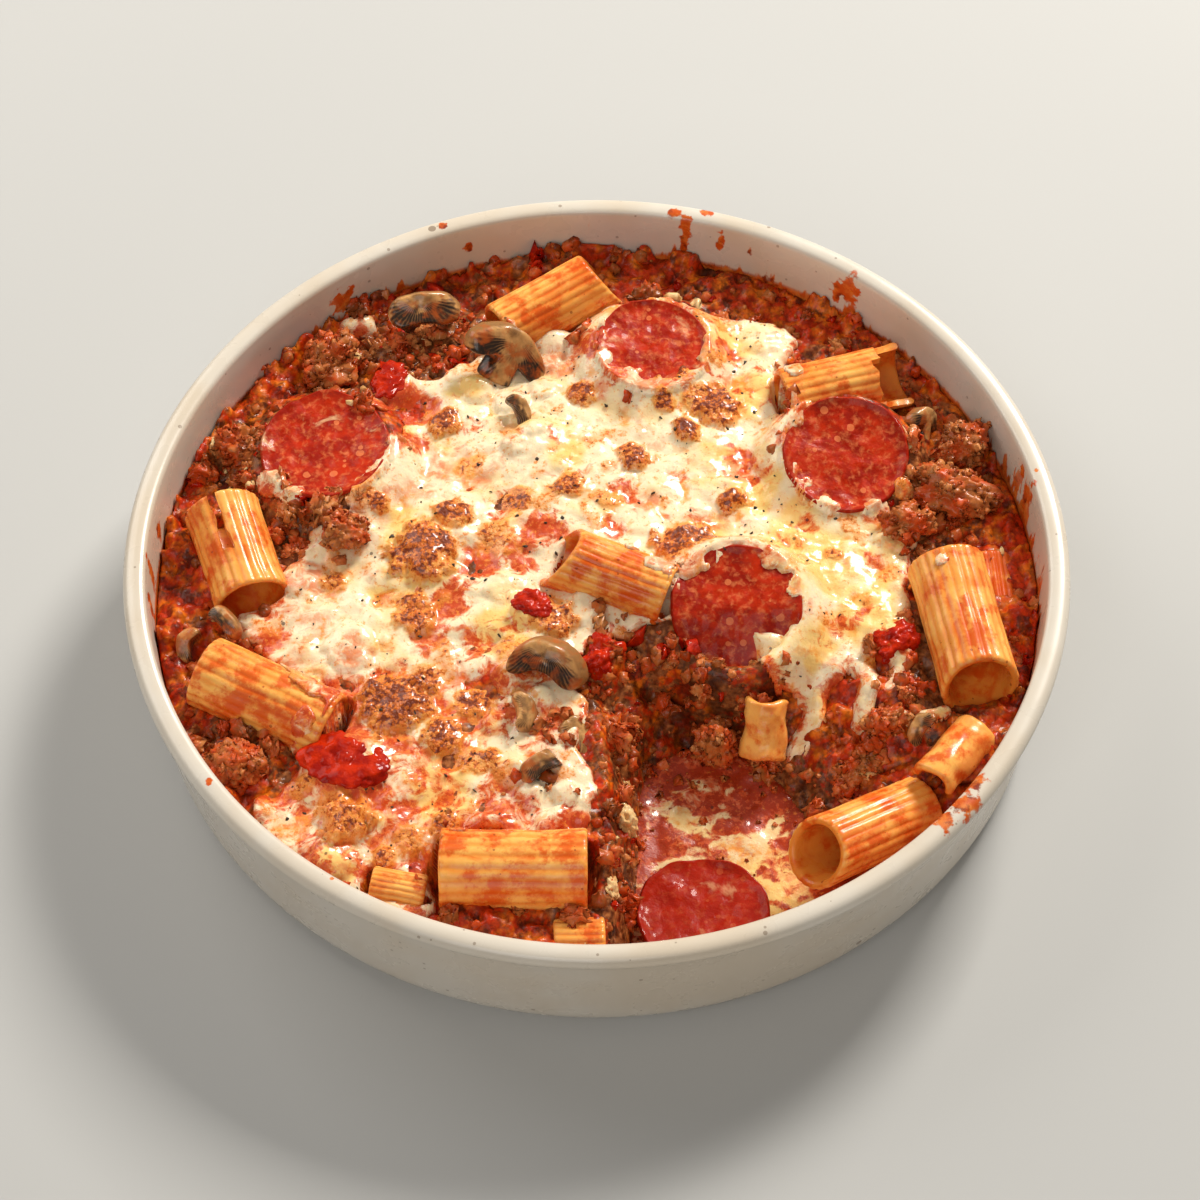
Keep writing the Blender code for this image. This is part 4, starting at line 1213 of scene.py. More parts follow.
def banked(x: Array, y: Array, height: Array, drop: float = 0.0) -> Array:
    """Return the heights raised up to the rims of the slices and chunks, and lowered beneath the slices.

    Args:
        x, y: the points.
        height: the height of each.
        drop: how far below the rims the heights stay.

    Returns:
        The new heights.
    """
    for slice_ in SALAMI:
        if slice_.middle[2] < ON_TOP:
            continue
        share, plane = slice_.seen_from_above(x, y)
        underside = plane + slice_.cup * np.minimum(share, 1.0) ** 3 + slice_.lip(share)
        near = ease(-share, -BANK_REACH, -1.0)
        raised = height + np.maximum(underside + 0.25 - drop - height, 0.0) * near
        seated = underside - 0.3 - drop + 0.35 * ease(share, 0.86, 0.98)
        below = np.where(share > 0.86, seated, np.minimum(height, seated))
        height = np.where(share < 1.0, below, raised)
    for chunk in CHUNKS:
        mx, my, mz = chunk.middle
        if mz > WELL_BEDDED:
            share = np.hypot(x - mx, y - my) / (0.5 * (chunk.half[0] + chunk.half[1]))
            shoulder = mz + 0.45 * chunk.half[2] * chunk.flatness - drop
            height = height + np.maximum(shoulder - height, 0.0) * ease(-share, -BANK_REACH, -0.9)
    return height


def piece_tops(x: Array, y: Array) -> Array:
    """Return the height of the tubes' and slices' upper sides, or a very low number beside them."""
    top = np.full(len(x), -NO_LIMIT)
    for tube in RIGATONI:
        run, along, off, centre = tube.seen_from_above(x, y)
        over = centre + np.sqrt(np.clip(tube.radius ** 2 - off ** 2, 0.0, None))
        top = np.where((off < tube.radius) & (along > 0.0) & (along < run), np.maximum(top, over + 0.5), top)
    for slice_ in SALAMI:
        share, over = slice_.seen_from_above(x, y)
        over = over + slice_.thickness + slice_.cup * share ** 3 + 0.3
        top = np.where(share < 1.03, np.maximum(top, over), top)
    return top


# ---------------------------------------------------- filling and its crumbs

@dataclass(frozen=True)
class Filling:
    """The bed of mince, pasta and sauce, out to its uneven top and the hollow's sides."""

    form: Form
    step: float = 0.82
    lower: float = 1.3
    crust: float = 4.6
    clump_size: float = 6.8
    clump_height: float = 2.7
    crumb_size: float = 2.4
    crumb_height: float = 0.8
    slope_height: float = 2.2
    thickness: float = 3.0

    def build(self, palette: Palette) -> Object:
        """Make the bed and keep on it how red and how crumbly each place is, and how much painted shade falls in its
        low places.
        """
        form = self.form
        border = form.inner_radius(form.edge_level) - 0.35

        def inside(x: Array, y: Array) -> Array:
            return np.minimum(border - np.hypot(x, y), -outline_distance(x, y, rounded(HOLLOW_FLOOR)))

        sheet = Sheet(inside, border + 1.0, self.step)
        x, y, reach = sheet.x, sheet.y, np.hypot(sheet.x, sheet.y)
        share = form.hollow_share(x, y)
        slope = 4.0 * share * (1.0 - share)
        place = flat(x, y)
        place[:, 2] = 12.0 * share
        loose = ease(-outline_distance(x, y, rounded(CHEESE_OUTLINE)), -5.0, 1.0)
        clumps, relief = self._relief(place, loose, slope)
        height = form.surface(x, y) - self.lower * loose + relief * ease(sheet.depth, -0.8, 1.6)
        at_wall = ease(-sheet.depth, -4.0, -0.3) * ease(reach, 88.0, 96.0) * ease(share, 0.7, 1.0)
        height = height + self.crust * at_wall * ease(layered(place, 8.0, 24, 3, 0.6), -0.15, 0.7)
        bed = tube_beds(x, y, form.surface(x, y))
        height = np.minimum(banked(x, y, height, 1.2), bed)
        height = np.maximum(height, form.inside_height(reach) + 0.3)
        sauce = 0.40 + 0.42 * layered(place, 15.0, 21, 2) + self._redder(x, reach, slope) + spots_at(x, y, SAUCY_PLACES)
        # Painted shade: darker in the relief's low places and low down on the hollow's slope.
        cavity_shade = ease(-relief, 0.1, 2.2) + 0.65 * slope * ease(-share, -0.55, -0.1)
        crumbs = loose * ease(-sauce, -0.8, -0.3) * (1.0 - 0.45 * slope) * ease(sheet.depth, 0.3, 2.0)
        gathered = ease(layered(place, 6.0, 18, 2) + 0.6 * clumps, -0.25, 0.3)
        crumbs = np.clip(crumbs * gathered, 0.1 * loose, 1.0) * ease(bed - height, 0.3, 1.2)
        return sheet.closed("meat_filling", height, self.thickness, palette.filling,
                            {"sauce": sauce, "cavity_shade": np.clip(cavity_shade, 0.0, 1.0), "crumbs": crumbs})

    def _relief(self, place: Array, loose: Array, slope: Array) -> tuple[Array, Array]:
        """Return the clumps and the whole relief: deep where the food is loose and on the hollow's slope."""
        warped = place + 1.6 * warp(place, 4.0, 15, 16, 17)
        clumps = grains(warped, self.clump_size, 3) - 0.55
        small = grains(warped, self.crumb_size, 5) - 0.55
        broad = layered(place, 11.0, 7)
        crumbly = layered(place, 2.4, 8, 3, 0.65)
        relief = self.clump_height * clumps + self.crumb_height * small + 1.1 * broad + 1.0 * crumbly
        relief = relief * (0.35 + 0.65 * loose)
        return clumps, relief + self.slope_height * slope * (layered(place, 7.0, 9, 2) + clumps)

    @staticmethod
    def _redder(x: Array, reach: Array, slope: Array) -> Array:
        """Return how much redder the food is at the wall and on the right slope, and less on the left one."""
        at_wall = 0.42 * ease(reach, 88.0, 100.0)
        return at_wall + 0.5 * ease(x, 26.0, 52.0) * slope - 0.1 * ease(-x, -34.0, -12.0) * slope


SAUCY_PLACES = spots((-54, -50, 15, 0.7), (-90, -8, 14, 0.5), (55, 88, 22, 0.6), (8, 92, 20, 0.6), (95, 0, 22, 0.55),
                     (62, -36, 13, 0.5), (-48, 48, 10, 0.6), (2, -62, 8, 0.4))


# ------------------------------------------------------------- geometry nodes

class GeometryTree(Tree):
    """A geometry-nodes tree with named inputs, applied to an object and then removed."""

    def __init__(self, name: str, inputs: Iterable[tuple[str, Kind, Any]]) -> None:
        """Start the tree.

        Args:
            name: the tree's name.
            inputs: name, kind and starting value of each input but the geometry and the material.
        """
        super().__init__(bpy.data.node_groups.new(name, "GeometryNodeTree"))
        new_sockets(self.tree, [("Geometry", Kind.GEOMETRY, None), *inputs, ("Material", Kind.MATERIAL, None)],
                    [("Geometry", Kind.GEOMETRY)])
        self.given = self.add("NodeGroupInput").outputs
        self.out = self.add("NodeGroupOutput").inputs

    def store(self, geometry: Socket, name: str, value: Socket) -> Socket:
        """Keep a number on a geometry's points under a name."""
        return self.add("GeometryNodeStoreNamedAttribute", {"Geometry": geometry, "Name": name, "Value": value},
                        data_type="FLOAT", domain="POINT").outputs[0]

    def moved(self, geometry: Socket, **where: Socket) -> Socket:
        """Move a geometry's points to a Position or by an Offset."""
        return self.add("GeometryNodeSetPosition", {"Geometry": geometry, **where}).outputs[0]

    def smooth(self, geometry: Socket) -> Socket:
        """Shade a geometry smooth."""
        return self.add("GeometryNodeSetShadeSmooth", {"Geometry": geometry}).outputs[0]

    def finish(self, geometry: Socket) -> None:
        """End the tree in Realize Instances and Set Material."""
        real = self.add("GeometryNodeRealizeInstances", {"Geometry": geometry}).outputs[0]
        dressed = self.add("GeometryNodeSetMaterial", {"Geometry": real, "Material": self.given["Material"]})
        self.tree.links.new(dressed.outputs[0], self.out["Geometry"])

    def apply(self, obj: Object, values: dict[str, Any]) -> Object:
        """Run the tree on an object and keep the result as its plain mesh.

        Args:
            obj: the object whose mesh goes in and is replaced.
            values: values of the named inputs.

        Returns:
            The object.
        """
        modifier = obj.modifiers.new(self.tree.name, "NODES")
        modifier.node_group = self.tree
        for item in self.tree.interface.items_tree:
            if item.item_type == "SOCKET" and item.in_out == "INPUT" and item.name in values:
                modifier[item.identifier] = values[item.name]
        mesh = modified_mesh(obj, modifier)
        old, obj.data = obj.data, mesh
        bpy.data.meshes.remove(old)
        mesh.name = obj.name
        return obj


class TubeTree(GeometryTree):
    """One hollow, ridged tube about local +Z, in metres, from its named sizes.

    A flat grid is rolled up: across it runs round the tube, and along it runs down the outside and back up the bore.
    """

    AROUND = 176
    ALONG = 69
    WELD = 2e-6

    def __init__(self) -> None:
        """Build the tree."""
        super().__init__("rigatoni_tube", [
            ("Radius", Kind.FLOAT, 0.009), ("Length", Kind.FLOAT, 0.032), ("Wall", Kind.FLOAT, 0.0019),
            ("Ridges", Kind.WHOLE, 22), ("Ridge Depth", Kind.FLOAT, 0.0005), ("Slant", Kind.FLOAT, 0.0),
            ("Flare", Kind.FLOAT, 0.0), ("Oval", Kind.FLOAT, 0.0), ("Bend", Kind.FLOAT, 0.0),
            ("Wobble", Kind.FLOAT, 0.0003), ("Seed", Kind.FLOAT, 0.0)])
        size = self.given
        grid = self.add("GeometryNodeMeshGrid", {"Size X": 1.0, "Size Y": 1.0, "Vertices X": self.AROUND + 1,
                                                 "Vertices Y": self.ALONG}).outputs["Mesh"]
        place = self.add("ShaderNodeSeparateXYZ", {0: self.add("GeometryNodeInputPosition").outputs[0]}).outputs
        angle = self.times(self.plus(place["X"], 0.5), 2.0 * math.pi)
        section = self.plus(place["Y"], 0.5)
        fold = self.math("ABSOLUTE", self.times_plus(section, 2.0, -1.0))
        along = self.math("SINE", self.times(self.times_plus(fold, 2.0, -1.0), math.pi / 2.0))
        outer = self.math("LESS_THAN", section, 0.5)
        wave = self.math("COSINE", self.times(angle, size["Ridges"]))
        crest = self.math("POWER", self.times_plus(wave, 0.5, 0.5), 0.5)
        reach = self._reach(along, outer, crest)
        x = self.times(reach, self.math("COSINE", angle))
        y = self.times(reach, self.math("SINE", angle))
        first_end = self.times_plus(along, -0.5, 0.5)
        lean = self.times(size["Slant"], x, first_end)
        z = self.plus(self.times(along, 0.5, size["Length"]), lean)
        bow = self.times(size["Bend"], self.times_plus(self.times(along, along), -1.0, 0.4))
        x = self.plus(self.times(x, self.minus(1.0, size["Oval"])), bow)
        y = self.times(y, self.plus(1.0, size["Oval"]))
        spot = self.add("ShaderNodeCombineXYZ", {0: x, 1: y, 2: z}).outputs[0]
        ripple = self.noise_shift(spot, size["Seed"], 110.0, 2.0)
        spot = self.vector("ADD", spot, self.scaled(ripple, self.times(size["Wobble"], 2.0)))
        ridged = self.store(grid, "ridge", self.times(crest, outer))
        bored = self.store(ridged, "bore", self.minus(1.0, outer))
        joined = self.add("GeometryNodeMergeByDistance", {"Geometry": self.moved(bored, Position=spot),
                                                          "Distance": self.WELD}).outputs[0]
        self.finish(self.smooth(joined))

    def _reach(self, along: Socket, outer: Socket, crest: Socket) -> Socket:
        """Return the distance from the axis, with ridges outside, rounded lips and flared ends.

        Args:
            along: -1 at one end and 1 at the other.
            outer: 1 on the outside and 0 in the bore.
            crest: 1 on a ridge and 0 in a valley.
        """
        size = self.given
        half_wall = self.times(size["Wall"], 0.5)
        lip = self.math("DIVIDE", size["Wall"], size["Length"])
        over = self.minus(self.math("ABSOLUTE", along), self.minus(1.0, lip))
        past = self.math("MAXIMUM", self.math("DIVIDE", over, lip), 0.0)
        fullness = self.math("SQRT", self.math("MAXIMUM", self.minus(1.0, self.times(past, past)), 0.0))
        wall = self.times(self.times_plus(outer, 2.0, -1.0), half_wall, fullness)
        valley = self.times(self.minus(1.0, crest), size["Ridge Depth"], outer, fullness)
        reach = self.minus(self.plus(self.minus(size["Radius"], half_wall), wall), valley)
        spread = self.times_plus(size["Flare"], self.math("POWER", self.math("ABSOLUTE", along), 5.0), 1.0)
        return self.times(reach, spread)


class ScatterTree(GeometryTree):
    """Crumbs scattered over a surface, each a small lumpy pebble of its own tone."""

    KINDS = 6
    WHOLE_TURN = 6.28
    FEW_LARGE = 2.2

    def __init__(self) -> None:
        """Build the tree."""
        super().__init__("scattered_crumbs", [
            ("Density", Kind.FLOAT, 200000.0), ("Smallest", Kind.FLOAT, 0.0006), ("Largest", Kind.FLOAT, 0.0015),
            ("Flatness", Kind.FLOAT, 0.8), ("Lumpiness", Kind.FLOAT, 0.5), ("Fineness", Kind.WHOLE, 2),
            ("Grain", Kind.FLOAT, 0.0), ("Seed", Kind.WHOLE, 1), ("Keep Base", Kind.SWITCH, False)])
        given = self.given
        weight = self.add("GeometryNodeInputNamedAttribute", {"Name": "crumbs"}, data_type="FLOAT").outputs[0]
        points = self.add("GeometryNodeDistributePointsOnFaces", {
            "Mesh": given["Geometry"], "Density": self.times(given["Density"], weight),
            "Seed": given["Seed"]}, distribute_method="RANDOM").outputs["Points"]
        toned = self.store(points, "tone", self._draw("FLOAT", given["Seed"], {2: 0.0, 3: 1.0}, 1))
        pebbles = self._joined(*(self._pebble(kind) for kind in range(self.KINDS)))
        draw = self._draw("FLOAT", self.plus(given["Seed"], 7.0), {2: 0.0, 3: 1.0}, 1)
        span = self.minus(given["Largest"], given["Smallest"])
        size = self.times_plus(self.math("POWER", draw, self.FEW_LARGE), span, given["Smallest"])
        scale = self.add("ShaderNodeCombineXYZ", {0: size, 1: size, 2: self.times(size, given["Flatness"])})
        placed = self.add("GeometryNodeInstanceOnPoints", {
            "Points": toned, "Instance": pebbles, "Pick Instance": True,
            "Instance Index": self._draw("INT", given["Seed"], {4: 0, 5: self.KINDS - 1}, 2),
            "Rotation": self._draw("FLOAT_VECTOR", given["Seed"], {0: (0.0,) * 3, 1: (self.WHOLE_TURN,) * 3}, 0),
            "Scale": scale.outputs[0]}).outputs[0]
        base = self.add("GeometryNodeSwitch", {0: given["Keep Base"], 2: given["Geometry"]},
                        input_type="GEOMETRY").outputs[0]
        self.finish(self._joined(placed, base))

    def _draw(self, kind: str, seed: Socket, limits: dict[int, Any], output: int) -> Socket:
        """Draw a random value for each point, between limits given by socket number."""
        return self.add("FunctionNodeRandomValue", {**limits, "Seed": seed}, data_type=kind).outputs[output]

    def _joined(self, *geometries: Socket) -> Socket:
        """Join geometries."""
        join = self.add("GeometryNodeJoinGeometry")
        for geometry in geometries:
            self.tree.links.new(geometry, join.inputs[0])
        return join.outputs[0]

    def _pebble(self, kind: int) -> Socket:
        """Add one kind of pebble, of radius 1, as an instance."""
        ball = self.add("GeometryNodeMeshIcoSphere", {"Radius": 1.0, "Subdivisions": self.given["Fineness"]})
        place = self.add("GeometryNodeInputPosition").outputs[0]
        lumps = self.noise_shift(place, 3.7 * kind + 1.0, 1.1, 2.5)
        lumpy = self.moved(ball.outputs["Mesh"], Offset=self.scaled(lumps, self.times(self.given["Lumpiness"], 5.2)))
        cells = self.add("ShaderNodeTexVoronoi", {"Vector": place, "W": 2.3 * kind, "Scale": 2.6},
                         voronoi_dimensions="4D").outputs["Distance"]
        swell = self.times(self.minus(0.4, cells), self.given["Grain"])
        grainy = self.smooth(self.moved(lumpy, Offset=self.scaled(place, swell)))
        return self.add("GeometryNodeGeometryToInstance", {"Geometry": grainy}).outputs[0]


# --------------------------------------------------------------- the cheese

@dataclass(frozen=True)
class Blister(Spot):
    """A browned bubble of cheese: a spot as strong as it is brown, and how far it rises."""

    rise: float = 0.42


@dataclass(frozen=True)
class Drip:
    """A run of cheese over the food beside the sheet: its path and half width."""

    path: Outline
    half_width: float


BLISTERS = tuple(Blister(*row) for row in (
    (-37, 45, 3.9), (-52, 19, 2.5), (-41, 5, 8.4, 1.0, 0.3), (-34, 16, 4.6, 1.0, 0.3), (-4, 54, 3.4),
    (-7, 25, 3.6, 0.9, 0.3), (-10, -15, 5.0, 0.85, 0.35), (-42, -12, 5.6, 0.85, 0.2), (18, 61, 5.4),
    (29, 50, 6.6, 1.0, 0.36), (16, 50, 2.7), (22, 42, 3.4), (9, 34, 4.6), (32, 21, 3.1), (18, 7, 5.2, 1.0, 0.3),
    (24, 9.5, 4.6, 1.0, 0.3), (-46, -37, 8.6, 1.1, 0.24), (-35, -45, 5.2, 1.0, 0.24), (-56, -67.5, 6.0, 0.7, 0.55),
    (-47, -76, 3.2, 0.8, 0.3), (-42, -72, 4.2, 0.5, 0.35), (29, 63, 3.0, 0.5, 0.1), (-19, 21, 4.0, 0.55, 0.1),
    (-24, 10, 5.0, 0.5, 0.05), (-62, -2, 3.0, 0.5, 0.2), (56, 6, 2.2, 0.6, 0.2), (-28, -52, 4.0, 0.6, 0.1),
    (-60, -63, 3.0, 0.6, 0.1), (-31, 32, 3.2, 0.4, 0.06), (3, 20, 3.5, 0.45, 0.08), (-20, -22, 4.0, 0.4, 0.05),
    (-40, -30, 4.0, 0.9, 0.16), (-28, -36, 4.4, 1.0, 0.16), (-34, -68, 3.4, 0.7, 0.2), (-66, -58, 3.0, 0.6, 0.2),
    (-24, -51, 3.0, 0.8, 0.16), (-50, -54, 3.0, 0.6, 0.1),
))
BLOBS = spots(
    (-58, -77, 5.6, 2.2), (-7, -61, 3.2, 2.4), (71, 12, 5.4, 2.0), (63, 19, 4.2, 1.6), (-69, -1, 6.0, 1.4),
    (-57, -21, 6.6, 2.0), (-20, 37, 3.4, 1.4), (40, 74, 7.0, 1.4), (-55, 54, 5.0, 1.2), (-3, -11, 4.6, 1.4),
    (50, -15, 4.0, 1.2), (24, -1, 6.4, 1.2), (-28, 60, 5.0, 1.0), (-12, 73, 5.0, 1.2), (45, 41, 3.6, 1.4),
    (-37, -84, 4.4, 1.6), (-24, -70, 6.0, 1.6), (-9, -69, 5.0, 1.4), (10, 15, 5.0, 1.0), (-22, -4, 5.0, 1.0),
    (-29, 56, 4.2, 1.8), (-21, 53, 4.4, 1.8), (-13, 57, 4.0, 1.6), (-25, 45, 3.2, 1.4), (-16, 42, 3.4, 1.3),
    (-20, -30, 4.2, 1.8), (-13, -36, 3.6, 1.4), (-23, -42, 3.4, 1.4), (-19, -55, 3.4, 1.4), (-15, -61, 3.2, 1.4),
)
THIN_PLACES = spots(
    (-46, 50, 7.0, 1.1), (-43, 39, 5.0, 0.8), (-27, 4, 6.0, 0.9), (-18, 4, 6.0, 0.7), (-34, -9, 6.0, 1.0),
    (-40, -14, 7.0, 0.7), (-14, 13, 6.0, 0.8), (-22, 20, 6.0, 0.7), (-3, 68, 6.0, 1.0), (4, 57, 5.0, 0.7),
    (31, 66, 5.0, 0.8), (34, 33, 6.0, 0.8), (39, 28, 4.0, 0.6), (7, 24, 4.5, 0.8), (4, 11, 4.5, 0.9),
    (-14, -9, 5.0, 1.0), (-26, -32, 6.5, 0.9), (-58, -34, 7.0, 0.8), (-57, -44, 7.0, 1.0), (-52, -38, 5.0, 0.8),
    (-72, -58, 7.0, 0.8), (-66, -66, 6.0, 0.5), (-76, -18, 5.0, 0.7), (-34, -62, 5.0, 0.5), (-18, -66, 7.0, 0.7),
    (-4, -68, 5.0, 0.9), (-38, -78, 5.0, 0.8), (-12, -48, 7.0, 0.4), (56, -30, 4.0, 0.8), (62, -10, 4.0, 0.3),
    (46, 2, 4.0, 0.2), (-50, -8, 4.0, 0.6), (-32, -44, 6.0, 0.7), (-22, -58, 6.0, 0.7), (-52, -60, 6.0, 0.8),
    (-62, -74, 5.0, 0.6), (-28, -68, 5.0, 0.8), (-40, -56, 6.0, 0.6), (-16, -30, 5.0, 0.7), (-28, -20, 6.0, 0.6),
    (50, 14, 4.0, 0.5), (44, 8, 3.5, 0.5), (56, -14, 5.0, 0.5), (66, 4, 4.0, 0.4), (-46, -46, 6.0, 0.9),
    (-38, -36, 5.0, 0.6), (-75, -9, 5.0, 0.5), (20, 55, 8.0, 0.3), (-48, -62, 24.0, 0.42), (-30, -40, 16.0, 0.36),
    (-66, -40, 12.0, 0.5), (-42, -64, 4.0, 1.0), (-33, -52, 3.6, 1.0), (-58, -56, 3.6, 1.0), (-24, -64, 3.6, 1.0),
    (-49, -30, 3.6, 0.8),
)
ROSY_PLACES = spots(
    (8, 64, 6.0, 0.9), (36, 30, 7.0, 0.8), (-69, 0, 6.0, 1.0), (-64, -4, 5.0, 0.8), (-57, -22, 5.0, 1.0),
    (-71, -55, 9.0, 1.0), (-60, -36, 8.0, 0.9), (-43, -71, 6.0, 0.8), (-36, 36, 6.0, 0.4), (46, 46, 5.0, 0.7),
    (-40, 30, 5.0, 0.3), (36, 60, 6.0, 0.5), (-46, -62, 22.0, 0.5), (-28, -34, 12.0, 0.4), (12, 20, 5.0, 0.6),
    (33, 8, 5.0, 0.4), (60, 6, 4.0, 0.4), (-8, 64, 5.0, 0.8),
)
OILY_PLACES = spots(
    (-30, 52, 9.0, 0.6), (-14, 44, 9.0, 0.5), (-8, 36, 7.0, 0.6), (-48, 13, 8.0, 0.7), (30, 72, 9.0, 0.8),
    (26, 34, 10.0, 0.8), (38, 54, 7.0, 0.9), (56, 2, 12.0, 0.9), (46, 14, 9.0, 0.8), (38, 22, 7.0, 0.7),
    (62, -12, 8.0, 0.9), (28, 12, 7.0, 0.6), (-24, -18, 9.0, 1.0), (-36, -60, 8.0, 0.8), (-58, -78, 7.0, 0.9),
    (-46, -2, 8.0, 0.7), (68, -2, 8.0, 0.6), (48, -20, 7.0, 0.7), (-66, -30, 6.0, 0.7), (-50, -66, 7.0, 0.9),
)
LAPS = spots(
    (7, 55, 6.5), (15, 53, 6.0), (22, 56, 4.6), (1, 62, 4.0), (27, 62, 2.6), (-52, 24, 3.6), (-56, 20, 3.0),
    (-50, 30, 2.4), (-77, 25, 3.4), (-72, 21, 2.6), (45, 38, 3.4), (46, 29, 3.4), (50, 24, 3.0), (66, 18, 3.2),
    (73, 24, 2.2), (22, -2, 5.0), (29, 1, 4.4), (37, 1, 3.4), (44, -3, 3.0), (46, -10, 2.6), (-62, -36, 4.6),
    (-66, -32, 4.2), (-60, -43, 3.2), (-70, -28, 3.0), (47, 47, 3.6), (48, 56, 3.4), (14, -3, 3.4), (-10, 8, 2.6),
    (8, 3, 2.4), (-30, -72, 2.6), (-36, -76, 2.4), (-22, 71, 3.0), (80, -3, 2.0), (18, -8, 2.4), (-66, -44, 3.6),
    (-61, -50, 3.0), (-52, -47, 2.6),
)
DRIPS = (
    Drip(((46, -20), (50, -28), (50, -35), (46, -41)), 2.9), Drip(((60, -20), (63, -29), (61, -37)), 3.1),
    Drip(((66, -38), (73, -39), (80, -37)), 1.9), Drip(((38, -20), (42, -27)), 2.2),
    Drip(((-8, -56), (-4, -66)), 2.6), Drip(((70, -24), (68, -32)), 2.2), Drip(((-62, 78), (-58, 80)), 3.0),
)


HIGHEST_CHEESE = 37.2


def rim_laps(slice_: "Salami", first: float, last: float, seed: int) -> list[Spot]:
    """Return the small places where cheese creeps over a slice's rim, between two angles in degrees."""
    places = []
    count = int(abs(last - first) / 13.0)
    draws = lattice(np.array([[k, seed, 0] for k in range(3 * count)]), seed)
    for k in range(count):
        angle = math.radians(first + (last - first) * (k + 0.6 * draws[3 * k]) / count)
        reach = slice_.radius * (0.93 + 0.16 * draws[3 * k + 1])
        places.append(Spot(slice_.middle[0] + reach * math.cos(angle), slice_.middle[1] + reach * math.sin(angle),
                           1.6 + 2.6 * draws[3 * k + 2]))
    return places


def all_laps() -> list[Spot]:
    """Return every place where the cheese laps over a slice or a tube."""
    first, second, third, fourth = SALAMI[:4]
    return (list(LAPS) + rim_laps(first, -60.0, 10.0, 1) + rim_laps(second, 150.0, 380.0, 2)
            + rim_laps(third, 130.0, 262.0, 3) + rim_laps(fourth, 20.0, 165.0, 4))


def path_distance(x: Array, y: Array, path: Outline) -> Array:
    """Return the distance from points to an open path."""
    near = np.full(len(x), np.inf)
    for start, end in zip(path, path[1:]):
        near = np.minimum(near, segment_distance(x, y, start, end))
    return near


def dome(reach: Array) -> Array:
    """Return a half ball's height: 1 in the middle and 0 from a reach of 1 outwards."""
    return np.sqrt(np.clip(1.0 - np.clip(reach, 0.0, 1.0) ** 2, 0.0, 1.0))


